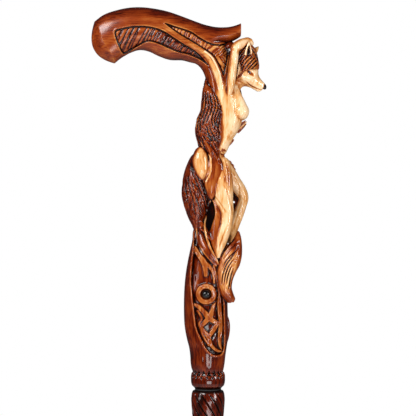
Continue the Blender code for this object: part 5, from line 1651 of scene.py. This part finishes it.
def thread(angle, z, depth):
    """How deep a right-hand thread cuts at an angle and a height, with a flat crest and root."""
    along = (z / PITCH + angle / (2 * np.pi)) % 1
    return depth * np.clip(2.3 * np.abs(along - 0.5) * 2 - 0.65, 0, 1)


def measures(node):
    """A piece's foot and top as heights above the joint, and its radius, all in mm."""
    low, high = (corner * 1000 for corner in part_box(node))
    return low.z - JOINT_MM, high.z - JOINT_MM, high.x


stud_bottom, stud_top, stud_radius = measures("joint_stud")
heights = np.linspace(stud_bottom, stud_top, round((stud_top - stud_bottom) / (PITCH / 12)))
chamfer = np.minimum(np.minimum(heights - stud_bottom, stud_top - heights) + stud_radius - 1.0, stud_radius)


def stud_cuts(angle, z, r):
    """The stud's thread, which runs out over the chamfered ends."""
    return np.where(r > 0, np.maximum(thread(angle, z, 0.9) - (stud_radius - r), 0.0), 0.0)


threaded_stud = turned(
    "threaded_stud", [(0.0, stud_bottom), *zip(chamfer, heights), (0.0, stud_top)], 48, change=stud_cuts,
)
# Zinc plate: a pale grey metal with soft lights, a little cloudy.
threaded_stud.data.materials.append(
    finish("zinc_plated_steel", "A9ADB0", 0.30, metallic=1.0, wear=0.08, figure=(400, 400, 1600))
)
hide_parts("joint_stud")
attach(threaded_stud, "staff")

insert_foot, insert_head, _ = measures("threaded_insert")
bore = insert_radius - 1.6
inside = [(bore, h) for h in np.linspace(insert_foot + 0.5, insert_head - 1.9, 150)]
outside = [(insert_radius, h) for h in np.linspace(insert_head - 0.5, insert_foot + 0.5, 60)]


def insert_cuts(angle, z, r):
    """A thread inside, and outside a fine straight knurl in two bands."""
    from_middle = np.abs(z - (insert_foot + insert_head) / 2)
    knurl = 0.22 * np.abs(np.sin(angle * 36)) * ease(from_middle, 1.6, 2.4)
    in_bore = (np.abs(r - bore) < 0.01) * ease(z, insert_foot + 0.5, insert_foot + 1.2)
    return np.where(r > insert_radius - 0.1, knurl, -thread(angle, z, 0.45) * in_bore)


bush = [(0.0, insert_head - 1.6), *inside[::-1], (bore + 0.5, insert_foot)]
bush += [(insert_radius - 0.5, insert_foot), *outside[::-1], (insert_radius - 0.5, insert_head)]
bush += [(0.0, insert_head)]
brass_insert = turned("brass_insert", bush, 144, change=insert_cuts)
# Turned brass: warm yellow, with the lathe's fine rings half a millimetre apart.
brass_insert.data.materials.append(
    finish("turned_brass", "C7A052", 0.26, metallic=1.0, wear=0.07, figure=(300, 300, 2200))
)
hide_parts("threaded_insert")
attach(brass_insert, "head")

washer_foot, washer_top, washer_rim = measures("joint_washer")
washer_hole = 5.3
fibre_washer = turned(
    "fibre_washer",
    [(washer_hole + 0.2, washer_foot), (washer_rim - 0.3, washer_foot), (washer_rim, washer_foot + 0.3),
     (washer_rim, washer_top - 0.3), (washer_rim - 0.3, washer_top), (washer_hole + 0.2, washer_top),
     (washer_hole, washer_top - 0.2), (washer_hole, washer_foot + 0.2)],
)
# Pressed fibre: black and matt, with a fine speckle.
fibre_washer.data.materials.append(finish("black_fibre", "121110", 0.65, wear=0.1))
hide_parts("joint_washer")
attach(fibre_washer, "washer")

# The staff: a turned hardwood shaft, swelling under the joint and tapering to the tip. Twelve V grooves
# are cut down it in a slow spiral and left black; the wood between them is stained dark red-brown and
# lacquered. The shoulder is rows of (radius, height), and the groove of (place in a sector, depth).
SPIRALS, LEAD = 12, 133.0
SHOULDER = [
    (11.2, 0.0), (12.9, -0.6), (13.8, -2.8), (14.2, -5.6), (14.3, -8.5), (14.0, -13.5), (13.3, -22.0),
]
STAFF_END_RADIUS, TAPER_END, GROOVES_FULL = 10.0, 54.0 - JOINT_MM, 66.0 - JOINT_MM
staff_foot = measures("staff")[0]
shoulder_radius, shoulder_end = SHOULDER[-1]
shaft = [tuple(p) for p in filled_in(SHOULDER, 4)]
for t in np.linspace(0, 1, 210)[1:]:
    radius = shoulder_radius + (STAFF_END_RADIUS - shoulder_radius) * t
    shaft.append((radius, shoulder_end + (TAPER_END - shoulder_end) * t))
shaft += [(STAFF_END_RADIUS, h) for h in np.linspace(51.0, 13.0, 16) - JOINT_MM] + [(9.0, staff_foot)]
stud_hole = [(0.0, -32.0), (5.15, -30.3), *((5.15, h) for h in np.linspace(-27.0, -0.4, 10)), (5.55, 0.0)]
GROOVE = [
    (-0.5, 0.08), (-0.38, 0.03), (-0.26, 0.0), (-0.15, 0.02), (-0.095, 0.14), (-0.05, 0.75), (0.0, 1.2),
    (0.05, 0.75), (0.095, 0.14), (0.15, 0.02), (0.26, 0.0), (0.38, 0.03),
]
sector = 2 * np.pi / SPIRALS
groove_places = [k * sector + place * sector for k in range(SPIRALS) for place, _ in GROOVE]
groove_depths = np.array([depth for _, depth in GROOVE] * SPIRALS)


def groove_share(height):
    """1 down the staff, and 0 at the shoulder's edge and close above the rubber tip."""
    return ease(-height, 1.5, 4.0) * ease(height, TAPER_END, GROOVES_FULL)


def turned_by(height):
    return 2 * np.pi * np.clip(height, -600, 0) / LEAD


def groove_cuts(angle, z, r):
    """The spiral grooves: they start under the shoulder and run out above the rubber tip."""
    groove = np.arange(z.shape[1])[None, :] // len(GROOVE)
    unevenness = 1 + 0.12 * wobble(z * 0.11, groove * 1.9, 3.0)
    return groove_depths[None, :] * (groove_share(z) * (r > 9.5)) * unevenness


spiral_staff = turned(
    "spiral_staff", [*stud_hole, *shaft, (0.0, staff_foot)], groove_places, change=groove_cuts,
    twist=lambda z: -turned_by(z),
)
spots = np.array([v.co for v in spiral_staff.data.vertices]) * 1000
height = spots[:, 2] - JOINT_MM
from_axis = np.hypot(spots[:, 0], spots[:, 1])
round_the_axis = (np.arctan2(spots[:, 0], -spots[:, 1]) + turned_by(height)) / sector
off_groove = np.abs((round_the_axis + 0.5) % 1 - 0.5)
grooved = groove_share(height) * (from_axis > 8)
# Near black in the grooves, and on the shoulder's top under the washer as painted shadow.
groove_and_shoulder_shadow = np.maximum(ease(-off_groove, -0.10, -0.045) * grooved, ease(height, -2.4, -0.8))
stain = 0.84 + 0.12 * ease(-off_groove, -0.26, -0.10) * grooved
stain = stain + 0.04 * wobble(height * 0.05, round_the_axis, 2.0)
stain = stain + 0.10 * ease(off_groove, 0.44, 0.5) * grooved
bare = ((height > -1e-3) & (from_axis < 11)) | (from_axis < 6)
stain = np.where(bare, 0.25, stain)
keep_on_points(spiral_staff.data, {"stain": stain, "cut": groove_and_shoulder_shadow * ~bare, "form": np.zeros(len(spots))})
spiral_staff.data.materials.append(
    lacquered_wood("dark_lacquered_hardwood_grain_along_staff", (160, 160, 18), 0.08, 0.14)
)
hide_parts("staff")
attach(spiral_staff, "staff")

# The tip: a moulded black rubber ferrule pushed on the staff's end, with bellows ribs on its sleeve, a
# wide foot with ring treads, and a steel disc in its floor that keeps the staff from cutting through. Its
# profile is rows of (radius, height above the floor).
tip_top, tip_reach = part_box("rubber_tip")[1].z * 1000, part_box("rubber_tip")[1].x * 1000
disc_foot, disc_top, disc_radius = measures("tip_disc")
sleeve = 13.5


def offsets(radius, height, steps):
    """Profile points at (out, up) from a radius and a height."""
    return [(radius + out, height + up) for out, up in steps]


moulding = [(0.0, 10.0), (disc_radius + 0.3, 10.0), (disc_radius + 0.3, 11.6), (disc_radius + 0.5, 11.7)]
moulding += [(STAFF_END_RADIUS + 0.3, 11.7)]
moulding += offsets(STAFF_END_RADIUS, tip_top, [(0.3, -1.0), (0.8, -0.2), (1.4, 0)])
moulding += offsets(sleeve, tip_top, [
    (-0.9, 0), (-0.25, -0.3), (0, -1.0), (0, -4.6), (-0.3, -5.6), (-0.9, -6.2),
])
bellows = [
    (0.2, 0), (0.9, -0.35), (1.2, -1.0), (1.2, -2.4), (0.9, -3.0), (0.2, -3.6), (0, -4.2), (0.05, -5.4),
]
for rib in range(3):
    moulding += offsets(sleeve - 0.8 + 0.4 * rib, tip_top - 7.0 - 6.6 * rib, bellows)
moulding += offsets(tip_reach, 0, [
    (-2.8, 16.4), (-2.1, 14.4), (-1.3, 12.0), (-0.6, 9.5), (-0.15, 7.6), (0, 6.0), (0, 3.6), (-0.35, 3.3),
    (-0.35, 2.7), (0, 2.4), (0, 1.2), (-0.3, 0.4), (-0.9, 0.0),
])
tread = [(0, 0), (-0.3, 0.4), (-0.5, 1.8), (-1.2, 1.8), (-1.4, 0.4), (-1.7, 0)]
for inwards in (2.6, 5.6, 8.6, 11.6):
    moulding += offsets(tip_reach - inwards, 0, tread)
moulding += [(2.2, 0.0), (1.4, 0.5), (0.0, 0.6)]
moulding = [(radius, height - JOINT_MM) for radius, height in moulding]


def mould_marks(angle, z, r):
    """Small upright ridges round the foot's wall, where the mould was cut for grip."""
    height = z + JOINT_MM
    band = ease(height, 6.2, 7.6) * ease(-height, -14.6, -12.0) * (r > 14)
    return 0.25 * np.abs(np.sin(angle * 24)) ** 4 * band


rubber_ferrule = turned("rubber_ferrule", moulding, 192, change=mould_marks)
# Moulded rubber: black and matt, rubbed a little greyer in patches of 3 mm.
rubber_ferrule.data.materials.append(
    finish("matt_black_rubber", "141415", 0.62, wear=0.1, figure=(350, 350, 350))
)
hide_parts("rubber_tip")
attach(rubber_ferrule, "tip")

stamping = [(0.0, disc_foot), (disc_radius - 0.25, disc_foot), (disc_radius, disc_foot + 0.25)]
stamping += offsets(disc_radius, disc_top, [(0, -0.35), (-0.12, -0.1), (-0.35, 0)])
steel_disc = turned("steel_disc", [*stamping, (0.0, disc_top)])
# Stamped steel: plain grey, with lights a little softer than the stud's.
steel_disc.data.materials.append(
    finish("stamped_steel", "9EA2A6", 0.34, metallic=1.0, wear=0.08, figure=(500, 500, 500))
)
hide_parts("tip_disc")
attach(steel_disc, "tip")
